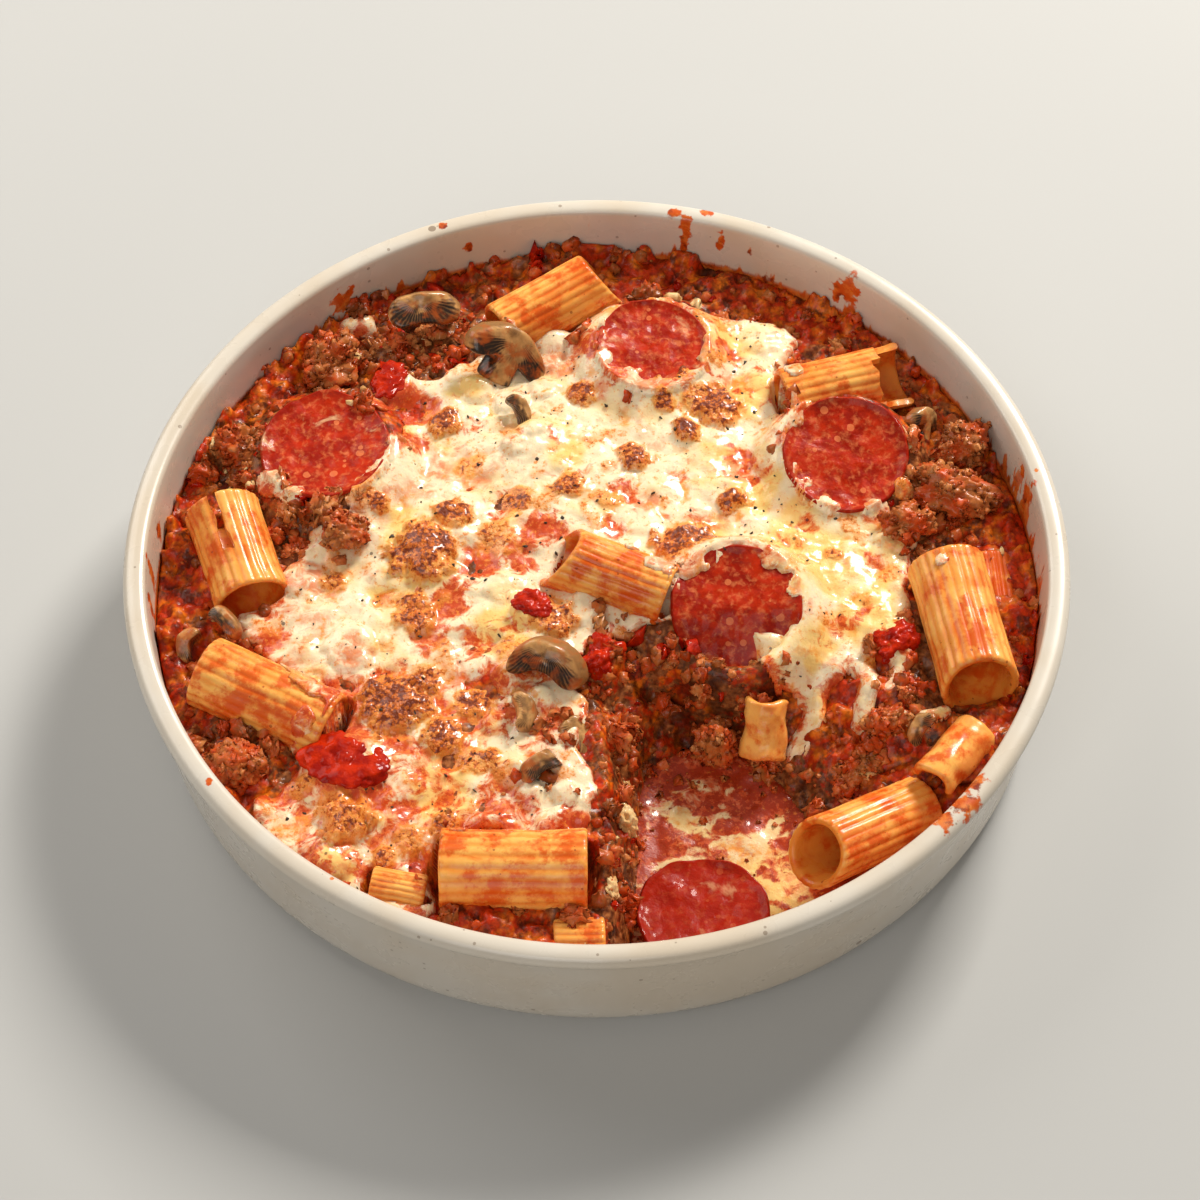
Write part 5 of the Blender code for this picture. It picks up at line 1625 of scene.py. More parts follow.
@dataclass(frozen=True)
class Cheese:
    """The sheet of melted cheese with its torn edge, blisters, blobs and drips."""

    form: Form
    step: float = 0.62
    reach: float = 98.0
    thickness: float = 2.7
    edge: float = 3.0
    torn: float = 2.6
    wall_gap: float = 1.2
    shred_size: float = 6.6
    strand_size: float = 3.1
    blister_rise: float = 1.15
    bedded: float = 0.9
    underside: float = 1.2

    def inside(self, x: Array, y: Array) -> Array:
        """Return how far a point lies inside the cheese's torn outline."""
        place = flat(x, y)
        depth = outline_distance(x, y, rounded(CHEESE_OUTLINE)) + self.torn * layered(place, 8.0, 31, 3)
        for drip in DRIPS:
            depth = np.maximum(depth, drip.half_width - path_distance(x, y, drip.path) + 0.7 * noise(place, 4.0, 37))
        for lap in all_laps():
            depth = np.maximum(depth, lap.radius + 0.8 - np.hypot(x - lap.x, y - lap.y))
        depth = depth + 0.6 * noise(place, 2.6, 33)
        return np.minimum(depth, self.form.inner_radius(30.0) - self.wall_gap - np.hypot(x, y))

    def build(self, palette: Palette) -> Object:
        """Make the sheet and keep on it how brown, thin, rosy and oily each place is."""
        sheet = Sheet(self.inside, self.reach, self.step)
        x, y = sheet.x, sheet.y
        place = flat(x, y)
        broad = layered(place, 13.0, 41, 2)
        warped = place + 1.7 * warp(place, 6.0, 66, 67)
        shreds = grains(warped * np.array([1.0, 1.35, 1.0]), self.shred_size, 68)
        strands = grains(warped, self.strand_size, 69)
        lumps = 0.55 * layered(place, 5.2, 43, 3) + 1.0 * (shreds - 0.6) + 0.42 * (strands - 0.55)
        thin = spots_at(x, y, THIN_PLACES, 0.25 * noise(place, 4.0, 45))
        rosy = spots_at(x, y, ROSY_PLACES, 0.25 * noise(place, 4.0, 46))
        oily = spots_at(x, y, OILY_PLACES, 0.25 * noise(place, 6.0, 47))
        body, brown = self._blistered(x, y, self.thickness + 0.9 * broad + 0.85 * lumps - 1.1 * thin)
        lap = spots_at(x, y, all_laps(), 0.3 * layered(place, 3.0, 49, 2))
        tops = piece_tops(x, y)
        height = self._laid(sheet, body, lap, tops, lumps)
        toasted = ease(layered(place, 7.0, 61, 3), 0.35, 1.0)
        sunken = ease(-(broad + lumps), 0.1, 1.5)
        over_piece = np.where(tops < 0.0, 0.0, lap)
        thin = thin + 0.45 * ease(-sheet.depth, -4.2, -0.2) + 0.4 * ease(layered(place, 10.0, 63, 3), 0.2, 1.0)
        redder = 0.35 * ease(layered(place, 14.0, 65, 2), 0.2, 0.9)
        oil = oily * 0.8 + 0.35 * sunken + 0.45 * ease(brown, 0.02, 0.3) + 0.24 * ease(x, 20.0, 55.0)
        seam = 0.75 * ease(-shreds, -0.62, -0.3) + 0.4 * ease(-strands, -0.5, -0.2)
        return sheet.closed("baked_cheese", height, self.underside, palette.cheese, {
            "brown": np.clip(brown + 0.35 * toasted * (1.0 - rosy), 0.0, 1.4), "thin": np.clip(thin, 0.0, 1.2),
            "rosy": np.clip(rosy + 0.2 * sunken + 0.55 * over_piece + redder, 0.0, 1.0),
            "oil": np.clip(oil, 0.0, 1.0), "seam": np.clip(seam, 0.0, 1.0), "crumbs": ease(sheet.depth, 1.0, 4.0)})

    def _blistered(self, x: Array, y: Array, body: Array) -> tuple[Array, Array]:
        """Raise blisters and blobs on the body and return it, and how brown each place is."""
        place = flat(x, y)
        brown = np.zeros(len(x))
        crust = grains(place, 1.5, 51) - 0.5 + 0.5 * noise(place, 0.9, 53)
        wobble = 0.24 * noise(place, 2.6, 57) + 0.16 * noise(place, 1.2, 58)
        for blister in BLISTERS:
            reach = blister.reach(x, y) + wobble
            rise = self.blister_rise * blister.rise * blister.radius * dome(reach)
            body = body + rise + 0.5 * crust * ease(-reach, -1.05, -0.7)
            brown = np.maximum(brown, blister.strength * ease(-reach, -1.32, -0.42))
        for blob in BLOBS:
            body = body + blob.strength * dome(blob.reach(x, y) + 0.5 * wobble)
        return body, brown

    def _laid(self, sheet: Sheet, body: Array, lap: Array, tops: Array, lumps: Array) -> Array:
        """Return the sheet's height, laid on the food and lapping over the pieces whose tops are given."""
        x, y = sheet.x, sheet.y
        rise = np.sqrt(np.clip(1.0 - (1.0 - np.clip(sheet.depth / self.edge, 0.0, 1.0)) ** 2, 0.0, 1.0))
        height = self.form.surface(x, y) - self.bedded + body * rise
        low = np.minimum(banked(x, y, height), tube_beds(x, y, self.form.surface(x, y)))
        over = tops - 1.3 + 1.5 * ease(lap, 0.28, 0.6) + 0.4 * lumps * ease(lap, 0.5, 1.0)
        high = np.maximum(low, np.minimum(over, HIGHEST_CHEESE))
        return low + (high - low) * np.where(tops < 0.0, 0.0, ease(lap, 0.1, 0.28))


@dataclass(frozen=True)
class HollowFilm:
    """The thin melted cheese and sauce left on the dish's floor in the hollow."""

    form: Form
    step: float = 0.7
    reach: float = 105.0
    thickness: float = 0.4
    overlap: float = 2.5

    def build(self, palette: Palette) -> Object:
        """Make the film and keep on it where sauce smears it."""
        form = self.form

        def inside(x: Array, y: Array) -> Array:
            depth = outline_distance(x, y, rounded(HOLLOW_FLOOR)) + self.overlap
            return np.minimum(depth, form.inner_radius(12.0) - 0.6 - np.hypot(x, y))

        sheet = Sheet(inside, self.reach, self.step)
        x, y = sheet.x, sheet.y
        place = flat(x, y)
        swirl = flat(x + 3.0 * noise(place, 9.0, 74), 2.1 * y + 3.0 * noise(place, 9.0, 75))
        smear = layered(swirl, 8.0, 73, 3)
        near_food = ease(outline_distance(x, y, rounded(HOLLOW_FLOOR)), -1.0, 9.0)
        thick = 0.45 + 0.5 * ease(layered(place, 6.0, 71, 3), -0.4, 1.0) + 0.9 * ease(-near_food, -0.6, 0.0)
        height = form.inside_height(np.hypot(x, y)) + thick * ease(sheet.depth, 0.0, 1.2)
        sauce = spots_at(x, y, SMEARED_PLACES, 0.4 * smear)
        thin = 0.24 + 0.7 * ease(sauce + 0.9 * smear, 0.1, 0.7) + 0.6 * (1.0 - near_food)
        return sheet.closed("hollow_film", height, self.thickness, palette.film, {
            "brown": np.full(len(x), -0.12), "thin": np.clip(thin, 0.0, 1.2),
            "rosy": np.clip(0.05 + 0.4 * ease(layered(place, 9.0, 77, 2), 0.2, 0.9), 0.0, 1.0),
            "oil": np.clip(0.1 + 0.8 * ease(x - 0.5 * (y + 80.0), 24.0, 40.0), 0.0, 1.0),
            "seam": 0.5 * ease(-smear, -0.1, 0.5), "crumbs": np.clip(0.12 + 1.0 * (1.0 - near_food), 0.0, 1.0)})


SMEARED_PLACES = spots((22, -48, 9, 0.9), (36, -50, 8, 0.8), (15, -60, 7, 0.7), (30, -64, 6, 0.7),
                       (22, -70, 5, 0.6), (44, -62, 6, 0.5), (14, -74, 4, 0.5))


# ---------------------------------------------------------------- the tubes

class Cut(Enum):
    """What has been torn off a tube."""

    WHOLE = "whole"
    TORN = "torn"
    SPLIT = "split"
    SHARD = "shard"


@dataclass(frozen=True)
class Rigatoni:
    """One piece of rigatoni: the solid it stands for, its two end centres and its radius."""

    node: str
    end_a: Point
    end_b: Point
    radius: float
    slant: float = 0.0
    cut: Cut = Cut.WHOLE
    flare: float = 0.02
    oval: float = 0.0
    bend: float = 0.0
    wall: float = 1.9
    ridges: int = 22
    ridge_depth: float = 0.28
    sauced: float = 0.02
    wobble: float = 0.45
    sharp_angle: float = 50.0

    def seen_from_above(self, x: Array, y: Array) -> tuple[float, Array, Array, Array]:
        """Return the tube's run, and how far along it and off it points lie, and its axis's height there."""
        (ax, ay, az), (bx, by, bz) = self.end_a, self.end_b
        run = math.hypot(bx - ax, by - ay)
        along = ((x - ax) * (bx - ax) + (y - ay) * (by - ay)) / run
        off = np.abs((x - ax) * (by - ay) - (y - ay) * (bx - ax)) / run
        return run, along, off, az + (bz - az) * np.clip(along / run, 0.0, 1.0)

    def build(self, tree: TubeTree, palette: Palette, seed: int) -> Object:
        """Make the tube with the shared tree, tear it and lay it in place."""
        start, end = Vector(self.end_a), Vector(self.end_b)
        run = end - start
        obj = make_object(self.node + "_tube", np.zeros((0, 3)), [])
        tree.apply(obj, {
            "Radius": self.radius * MM, "Length": run.length * MM, "Wall": self.wall * MM, "Ridges": self.ridges,
            "Ridge Depth": self.ridge_depth * MM, "Slant": self.slant, "Flare": self.flare, "Oval": self.oval,
            "Bend": self.bend * MM, "Wobble": self.wobble * MM, "Seed": float(seed), "Material": palette.pasta})
        for low, high in self._torn_off(run.length):
            cut_away(obj, low, high, seed)
        face_out(obj.data)
        keep_value(obj.data, "sauced", self.sauced)
        obj.data.transform(frame_towards(run, (start + end) / 2.0))
        obj.data.shade_smooth()
        if self.cut is not Cut.WHOLE:
            obj.data.set_sharp_from_angle(angle=math.radians(self.sharp_angle))
        return obj

    def _torn_off(self, length: float) -> list[tuple[Point, Point]]:
        """Return the corners of the blocks that have been torn off, in the tube's own frame."""
        radius, half = self.radius, length / 2.0
        return {
            Cut.WHOLE: [],
            Cut.TORN: [((-0.3 * radius, -2.0 * radius, -half - 3.0), (2.0 * radius, 0.0, 9.0 - half)),
                       ((0.4 * radius, -0.5 * radius, -half - 3.0), (2.0 * radius, 2.0 * radius, 7.0 - half))],
            Cut.SPLIT: [((0.2 * radius, 0.1 * radius, -half - 2.0),
                         (2.0 * radius, 0.36 * radius, 0.6 * length - half))],
            Cut.SHARD: [((-2.0 * radius, -2.0 * radius, -half - 2.0), (0.1 * radius, 2.0 * radius, half + 2.0))],
        }[self.cut]


TEAR_CUTS = 9
TEAR_DEPTH = 0.7
TEAR_SIZE = 3.6


def cut_away(obj: Object, low: Point, high: Point, seed: int) -> None:
    """Cut a block with ragged sides out of an object.

    Args:
        obj: the object that is cut.
        low, high: the block's corners in millimetres.
        seed: which ragged sides.
    """
    bm = bmesh.new()
    bmesh.ops.create_cube(bm, size=1.0)
    bmesh.ops.subdivide_edges(bm, edges=bm.edges[:], cuts=TEAR_CUTS, use_grid_fill=True)
    share = np.array([vert.co[:] for vert in bm.verts]) + 0.5
    corner, opposite = np.array(low), np.array(high)
    points = corner + (opposite - corner) * share
    for axis in range(3):
        points[:, axis] += TEAR_DEPTH * layered(points, TEAR_SIZE, seed * 5 + axis, 2)
    for vert, point in zip(bm.verts, points):
        vert.co = Vector(point) * MM
    mesh = bpy.data.meshes.new("tear")
    bm.to_mesh(mesh)
    bm.free()
    tool = bpy.data.objects.new("tear", mesh)
    bpy.context.scene.collection.objects.link(tool)
    modifier = obj.modifiers.new("tear", "BOOLEAN")
    modifier.operation, modifier.solver, modifier.object = "DIFFERENCE", "EXACT", tool
    result = modified_mesh(obj, modifier)
    material = next(kept for kept in obj.data.materials if kept is not None)
    result.materials.clear()
    result.materials.append(material)
    result.polygons.foreach_set("material_index", np.zeros(len(result.polygons), np.int32))
    old, obj.data = obj.data, result
    bpy.data.meshes.remove(old)
    bpy.data.objects.remove(tool)
    bpy.data.meshes.remove(mesh)


RIGATONI = (
    Rigatoni("rigatoni_01", (1.2, 90.6, 28.5), (-24.0, 74.5, 26.0), 8.0, slant=0.42, flare=0.02, sauced=0.07),
    Rigatoni("rigatoni_02", (76.0, 60.2, 28.3), (45.5, 51.4, 28.0), 8.0, cut=Cut.TORN, sauced=0.05),
    Rigatoni("rigatoni_03", (-89.6, 18.6, 27.5), (-80.8, -6.0, 24.5), 8.8, cut=Cut.SPLIT, flare=0.06, sauced=0.07),
    Rigatoni("rigatoni_04", (-90.5, -27.0, 26.0), (-60.5, -41.5, 23.5), 8.7, sauced=0.11),
    Rigatoni("rigatoni_05", (-8.8, 2.6, 30.6), (17.0, -7.9, 28.6), 7.8, slant=0.55, flare=0.05, sauced=0.1),
    Rigatoni("rigatoni_06", (88.1, -32.4, 27.0), (82.0, 1.6, 29.0), 8.8, slant=0.34, flare=0.03, oval=0.03,
             sauced=0.07),
    Rigatoni("rigatoni_07", (48.8, -73.8, 22.5), (74.0, -56.5, 13.5), 7.9, slant=0.36, sauced=0.06),
    Rigatoni("rigatoni_08", (-34.6, -79.4, 24.5), (-2.0, -79.6, 24.5), 9.3, flare=0.05, ridges=20, sauced=0.1),
    Rigatoni("rigatoni_09", (-9.5, -94.6, 18.2), (2.0, -94.4, 18.2), 6.3, sauced=0.1),
    Rigatoni("rigatoni_10", (-9.0, -20.4, 16.0), (13.5, -19.4, 16.0), 6.8, sauced=0.15),
    Rigatoni("rigatoni_11", (39.4, -31.5, 22.0), (38.4, -41.5, 12.0), 5.2, cut=Cut.SHARD, ridges=0, sauced=0.07,
             wobble=2.0),
    Rigatoni("rigatoni_12", (93.6, 9.0, 19.0), (94.6, -9.0, 17.5), 6.6, sauced=0.15),
    Rigatoni("rigatoni_13", (87.2, -41.4, 22.0), (75.6, -55.8, 23.0), 5.4, cut=Cut.SHARD, ridges=0, sauced=0.08,
             wobble=1.6),
    Rigatoni("rigatoni_14", (-37.8, -84.6, 22.0), (-50.0, -82.4, 23.0), 4.8, sauced=0.06),
)


# --------------------------------------------------------------- the slices

@dataclass(frozen=True)
class Salami:
    """One cupped slice of salami: the solid it stands for, middle, radius and the way it faces."""

    node: str
    middle: Point
    radius: float
    facing: Point
    cup: float = 1.4
    fold: float = 0.0
    film: float = 0.6
    # Baked: painted shade, how far the whole slice is darkened.
    baked: float = 0.0
    thickness: float = 1.5
    sunk: float = 0.7
    around: int = 128
    rings: int = 26

    def seen_from_above(self, x: Array, y: Array) -> tuple[Array, Array]:
        """Return how far out points lie, 1 at the rim, and the height of the slice's flat underside there."""
        (mx, my, mz), (nx, ny, nz) = self.middle, self.facing
        share = np.hypot(x - mx, y - my) / self.radius
        return share, mz - self.sunk - ((x - mx) * nx + (y - my) * ny) / nz

    @staticmethod
    def lip(share: Array) -> Array:
        """Return how much thicker the slice is towards its rim."""
        return 0.35 * ease(share, 0.84, 0.97)

    def build(self, palette: Palette, seed: int) -> Object:
        """Make the slice: two faces joined by a rounded rim."""
        angles = np.arange(self.around) * 2.0 * math.pi / self.around
        shares = np.sin(np.linspace(0.0, math.pi / 2.0, self.rings + 1))[1:]
        inset = 1.0 - 0.35 * self.thickness / self.radius
        middle = 0.5 * self.thickness
        rings = [(share * inset, self.thickness) for share in shares] + [(1.004, middle)]
        rings += [(share * inset, 0.0) for share in shares[::-1]]
        rows = [self._row(reach, angles, lift, seed) for reach, lift in rings]
        rows += [self._row(0.0, angles[:1], lift, seed) for lift in (self.thickness, 0.0)]
        points = np.concatenate([row for row, _ in rows])
        edge = np.concatenate([near for _, near in rows])
        obj = make_object(self.node + "_slice", points, ring_faces(len(rings), self.around, turned=True),
                          palette.salami, {"edge": edge, "film": np.full(len(points), self.film),
                                           "baked": np.full(len(points), self.baked)})
        seat = (self.middle[0], self.middle[1], self.middle[2] - self.sunk)
        obj.data.transform(frame_towards(self.facing, seat, (0.0, 1.0, 0.0)))
        face_out(obj.data)
        obj.data.shade_smooth()
        return obj

    def _row(self, share: float, angles: Array, lift: float, seed: int) -> tuple[Array, Array]:
        """Return one ring of points in the slice's own frame, and how near the rim they are."""
        ragged = flat(np.cos(angles), np.sin(angles))
        radius = self.radius * share * (1.0 + 0.034 * share * layered(ragged, 0.8, seed, 3))
        x, y = radius * np.cos(angles), radius * np.sin(angles)
        place = flat(x, y)
        shares = np.full(len(x), share)
        height = self.cup * share ** 3 + lift - 2.0 * self.fold * ease(-x / self.radius, 0.0, 1.0)
        height = height + 0.8 * layered(place, 10.0, seed + 5, 2) * share + 0.2 * layered(place, 3.0, seed + 8, 2)
        height = height + self.lip(shares) * (1.0 if lift else 0.4)
        return np.stack([x, y, height], axis=1), ease(shares, 0.86, 1.0)


SALAMI = (
    Salami("salami_01", (-65.4, 34.6, 30.2), 15.9, (-0.03, -0.02, 1.0), film=1.0),
    Salami("salami_02", (13.9, 66.4, 30.4), 14.2, (0.02, -0.06, 1.0), film=0.7),
    Salami("salami_03", (59.7, 32.2, 31.0), 15.1, (0.05, -0.26, 1.0), film=0.4),
    Salami("salami_04", (32.4, -12.3, 31.2), 15.3, (-0.05, -0.24, 1.0), cup=0.6, fold=3.0, film=0.3),
    # Salami_05 lies in the hollow by the near wall and is darkened all over as painted shade.
    Salami("salami_05", (24.0, -82.4, 8.4), 15.3, (-0.02, 0.07, 1.0), cup=0.9, film=0.5, baked=0.7, sunk=0.0),
)


# ------------------------------------------------------------- the mushrooms

@dataclass(frozen=True)
class Mushroom:
    """One piece of mushroom: the solid it stands for, middle, cap width, thickness and how it lies."""

    node: str
    middle: Point
    width: float
    thickness: float
    facing: Point
    cap_towards: Point
    stem: float = 0.0
    gills: float = 1.0
    crown_steps: int = 28

    def outline(self) -> Array:
        """Return the slice's outline as (along the cap's way, across)."""
        half = 0.5 * self.width
        turns = [step * math.pi / self.crown_steps for step in range(self.crown_steps + 1)]
        points = [(half * math.cos(turn), 0.72 * half * math.sin(turn)) for turn in turns]
        if self.stem:
            stalk = 0.3 * half
            lower = [(-0.92 * half, -0.24 * half), (-0.75 * half, -0.28 * half), (-0.52 * half, -0.16 * half),
                     (-stalk, -0.1 * half), (-1.05 * stalk, -0.5 * self.stem), (-1.15 * stalk, -0.9 * self.stem),
                     (-0.95 * stalk, -self.stem)]
        else:
            lower = [(-0.94 * half, -0.26 * half), (-0.7 * half, -0.36 * half), (-0.4 * half, -0.24 * half),
                     (-0.15 * half, -0.2 * half)]
        lower += [(-x, y) for x, y in reversed(lower)]
        return np.array([(along, across) for across, along in rounded(points + lower, 1)])

    def build(self, palette: Palette, seed: int) -> Object:
        """Make the slice with rounded edges, its skin outside and its gills under the cap."""
        rim = self.outline()
        half, thick = 0.5 * self.width, 0.5 * self.thickness
        core = np.array([0.12 * half, 0.0])
        rows, gill, skin, turn = [], [], [], []
        for share, side in ROUNDED_EDGE:
            outline = core + (rim - core) * share
            along, across = outline[:, 0], np.abs(outline[:, 1]) / half
            bow = 0.12 * half * (outline[:, 1] / half) ** 2
            rows.append(np.stack([along, outline[:, 1], side * thick - bow], axis=1))
            below = ease(-along, -0.40 * half, -0.12 * half)
            beside = (ease(across, 0.2, 0.34) if self.stem else 1.0) * ease(-across, -0.95, -0.84)
            gill.append(self.gills * below * beside)
            turn.append(np.arctan2(outline[:, 1], 0.5 * half - along))
            skin.append(ease(np.full(len(rim), share), 0.93, 1.0) * ease(along, -0.1 * half, 0.1 * half))
        points = np.concatenate(rows + [np.array([[core[0], core[1], -thick], [core[0], core[1], thick]])])
        points += 0.3 * np.stack([layered(points + 40.0 * axis, 3.4, seed + axis, 3) for axis in range(3)], axis=1)
        points += 0.1 * self.width * np.stack([noise(points + 70.0 * axis, 0.6 * self.width, seed + 9 + axis)
                                               for axis in range(3)], axis=1)
        ends = [np.zeros(2)]
        obj = make_object(self.node + "_piece", points, ring_faces(len(rows), len(rim)), palette.mushroom,
                          {"gill": np.concatenate(gill + ends), "skin": np.concatenate(skin + ends),
                           "turn": np.concatenate(turn + ends)})
        face_out(obj.data)
        obj.data.transform(frame_towards(self.facing, self.middle, self.cap_towards))
        smooth = obj.modifiers.new("round", "SUBSURF")
        smooth.levels = smooth.render_levels = 1
        obj.data.shade_smooth()
        return obj


ROUNDED_EDGE = ((0.22, -1.0), (0.5, -1.0), (0.78, -1.0), (0.93, -0.93), (1.0, -0.62), (1.02, 0.0),
                (1.0, 0.62), (0.93, 0.93), (0.78, 1.0), (0.5, 1.0), (0.22, 1.0))


MUSHROOMS = (
    Mushroom("mushroom_01", (-43.5, 77.0, 30.4), 18.5, 6.0, (0.2, -0.65, 0.75), (-0.1, 0.6, 0.6), gills=0.95),
    Mushroom("mushroom_02", (-23.0, 62.2, 30.5), 21.0, 4.5, (0.3, -0.7, 0.7), (0.45, 0.7, 0.4), 7.0, gills=1.2),
    Mushroom("mushroom_03", (-19.5, 47.0, 30.0), 9.0, 3.6, (0.1, -0.4, 0.9), (0.8, 0.4, 0.1), gills=0.7),
    Mushroom("mushroom_04", (-11.0, -29.0, 30.2), 18.0, 5.5, (-0.25, -0.75, 0.6), (0.25, 0.6, 0.75), gills=0.9),
    Mushroom("mushroom_05", (-17.5, -40.5, 28.8), 9.5, 6.5, (0.0, -0.3, 1.0), (1.0, 0.1, 0.0), gills=0.2),
    Mushroom("mushroom_06", (-12.5, -54.5, 28.2), 10.0, 5.5, (0.35, -0.45, 0.8), (-0.6, 0.8, 0.0), gills=0.9),
    Mushroom("mushroom_07", (-4.2, -44.0, 24.6), 11.0, 4.0, (0.6, -0.3, 0.75), (0.0, 1.0, 0.3), 5.0, gills=0.4),
    Mushroom("mushroom_08", (-86.8, -15.2, 28.2), 9.2, 4.6, (-0.2, -0.5, 0.85), (0.7, 0.6, 0.4), gills=0.9),
    Mushroom("mushroom_09", (-94.6, -19.0, 25.0), 8.4, 4.2, (-0.1, -0.4, 0.9), (-0.9, 0.4, 0.0), gills=0.4),
    Mushroom("mushroom_10", (79.5, 44.5, 28.0), 10.0, 3.0, (0.7, -0.4, 0.6), (0.1, 0.9, 0.4), 4.0),
    Mushroom("mushroom_11", (75.2, -40.6, 22.6), 8.8, 4.6, (-0.3, -0.7, 0.7), (-0.8, 0.3, 0.3), gills=0.6),
)


# ------------------------------------------------- chunks, mince and crumbs

@dataclass(frozen=True)
class Chunk:
    """A chunk of tomato, onion or mince: the solid it stands for, middle, half sizes, turn and roughness."""

    node: str
    middle: Point
    half: Point
    turn: float
    seed: int
    roughness: float
    flatness: float = 1.0
    squareness: float = 0.0

    def body(self, material: Material | None, ripple: float, detail: int = 5) -> Object:
        """Make the chunk as a rough ball.

        Args:
            material: its material, if it has one yet.
            ripple: how deep its small unevenness is, as a share of its size.
            detail: how many times the ball is divided.

        Returns:
            The new object.
        """
        bm = bmesh.new()
        bmesh.ops.create_icosphere(bm, subdivisions=detail, radius=1.0)
        ball = np.array([vert.co[:] for vert in bm.verts])
        faces = [[vert.index for vert in face.verts] for face in bm.faces]
        bm.free()
        swell = 1.0 + self.roughness * layered(ball, 0.9, self.seed, 2)
        swell = swell + ripple * (grains(ball, 0.34, self.seed + 3) - 0.5 + layered(ball, 0.3, self.seed + 6, 3))
        swell = swell * (1.0 + self.squareness * (np.sum(np.abs(ball) ** 4.0, axis=1) ** -0.25 - 1.0))
        local = ball * swell[:, None] * np.array(self.half)
        local[:, 2] = np.where(local[:, 2] > 0.0, local[:, 2] * self.flatness, local[:, 2])
        angle = math.radians(self.turn)
        spin = np.array([[math.cos(angle), -math.sin(angle), 0.0], [math.sin(angle), math.cos(angle), 0.0], [0, 0, 1]])
        return make_object(self.node + "_chunk", local @ spin.T + np.array(self.middle), faces, material)


CHUNKS = (
    Chunk("tomato_01", (-57.0, -53.2, 27.8), (7.4, 6.6, 3.4), 20, 1, 0.3, 0.6, 0.5),
    Chunk("tomato_02", (-14.5, -11.5, 30.2), (4.6, 3.4, 2.4), 0, 2, 0.26, 0.7, 0.6),
    Chunk("tomato_03", (1.2, -24.0, 28.0), (3.6, 4.6, 3.2), -25, 3, 0.28, 1.0, 0.8),
    Chunk("tomato_04", (69.2, -19.6, 27.4), (4.8, 3.6, 2.8), 30, 4, 0.28, 0.9, 0.8),
    Chunk("tomato_05", (-50.6, 56.4, 29.2), (5.6, 4.0, 2.4), 60, 5, 0.3, 0.7, 0.6),
    Chunk("onion_01", (2.2, -80.6, 18.8), (2.4, 4.0, 3.8), 15, 6, 0.05),
    Chunk("onion_02", (6.0, -60.0, 14.0), (3.0, 4.8, 4.4), 25, 7, 0.08),
)
NUGGETS = (
    Chunk("mince_01", (89.0, 38.4, 28.2), (6.4, 5.4, 4.6), 30, 11, 0.3),
    Chunk("mince_02", (85.0, 24.4, 27.6), (9.2, 5.6, 4.8), -20, 12, 0.3),
    Chunk("mince_03", (73.8, 13.6, 28.4), (5.6, 4.6, 3.8), 10, 13, 0.3),
    Chunk("mince_04", (-65.6, 64.6, 27.2), (7.8, 5.8, 4.6), 35, 14, 0.3),
    Chunk("mince_05", (-86.6, 38.6, 26.4), (5.8, 5.0, 4.4), 0, 15, 0.3),
    Chunk("mince_06", (-82.0, -52.6, 25.6), (5.4, 5.2, 4.2), 20, 16, 0.3),
    Chunk("mince_07", (60.5, -46.0, 14.5), (6.6, 5.4, 5.0), 40, 17, 0.3),
    Chunk("mince_08", (24.0, -22.0, 14.8), (7.4, 4.8, 5.6), 0, 18, 0.3),
    Chunk("mince_09", (-60.0, 9.8, 31.0), (4.6, 4.8, 3.0), 0, 19, 0.3),
    Chunk("mince_10", (27.6, -38.2, 12.6), (5.0, 4.4, 5.2), 0, 20, 0.3),
    Chunk("mince_11", (66.8, -38.6, 22.0), (4.8, 4.4, 4.6), 15, 21, 0.3),
)


@dataclass(frozen=True)
class Scattering:
    """One kind of small thing: the piece's name, how many to the square metre and what they look like."""

    name: str
    density: float
    smallest: float
    largest: float
    flatness: float
    lumpiness: float
    seed: int
    fineness: int = 2
    grain: float = 0.0

    def inputs(self) -> dict[str, Any]:
        """Return the scatter tree's inputs."""
        return {"Density": self.density, "Smallest": self.smallest * MM, "Largest": self.largest * MM,
                "Flatness": self.flatness, "Lumpiness": self.lumpiness, "Seed": self.seed,
                "Fineness": self.fineness, "Grain": self.grain}

    def build(self, source: Object, tree: ScatterTree, material: Material, places: Iterable[Spot] = ()) -> Object:
        """Scatter them over a piece's surface as a piece of their own.

        Args:
            source: the piece they lie on, whose "crumbs" value says how thickly.
            tree: the shared tree.
            material: their material.
            places: the only places they lie at, if any are given.

        Returns:
            The new object.
        """
        obj = bpy.data.objects.new(self.name, source.data.copy())
        bpy.context.scene.collection.objects.link(obj)
        if places:
            points = mesh_points(obj.data)
            layer = obj.data.attributes["crumbs"]
            kept = np.empty(len(points), np.float32)
            layer.data.foreach_get("value", kept)
            near = spots_at(points[:, 0], points[:, 1], places, 0.5 * layered(points, 5.0, 91, 2))
            layer.data.foreach_set("value", (near * (kept > 0.0)).astype(np.float32))
        return tree.apply(obj, {**self.inputs(), "Material": material})


@dataclass(frozen=True)
class Nugget:
    """A clump of minced meat: a core of the solid's form, packed with crumbs."""

    chunk: Chunk
    core_share: float = 0.95
    ripple: float = 0.24
    core_tone: float = 0.5

    def build(self, tree: ScatterTree, palette: Palette) -> Object:
        """Make the core and cover it with crumbs in one mesh."""
        chunk = self.chunk
        core = replace(chunk, half=tuple(side * self.core_share for side in chunk.half)).body(None, self.ripple)
        keep_value(core.data, "crumbs", 1.0)
        keep_value(core.data, "tone", self.core_tone)
        core.name = chunk.node + "_clump"
        crumbs = Scattering(core.name, 240000.0, 0.35, 1.3, 0.8, 0.8, chunk.seed)
        return tree.apply(core, {**crumbs.inputs(), "Keep Base": True, "Material": palette.crumbs})


# ---------------------------------------------------------------- the studio

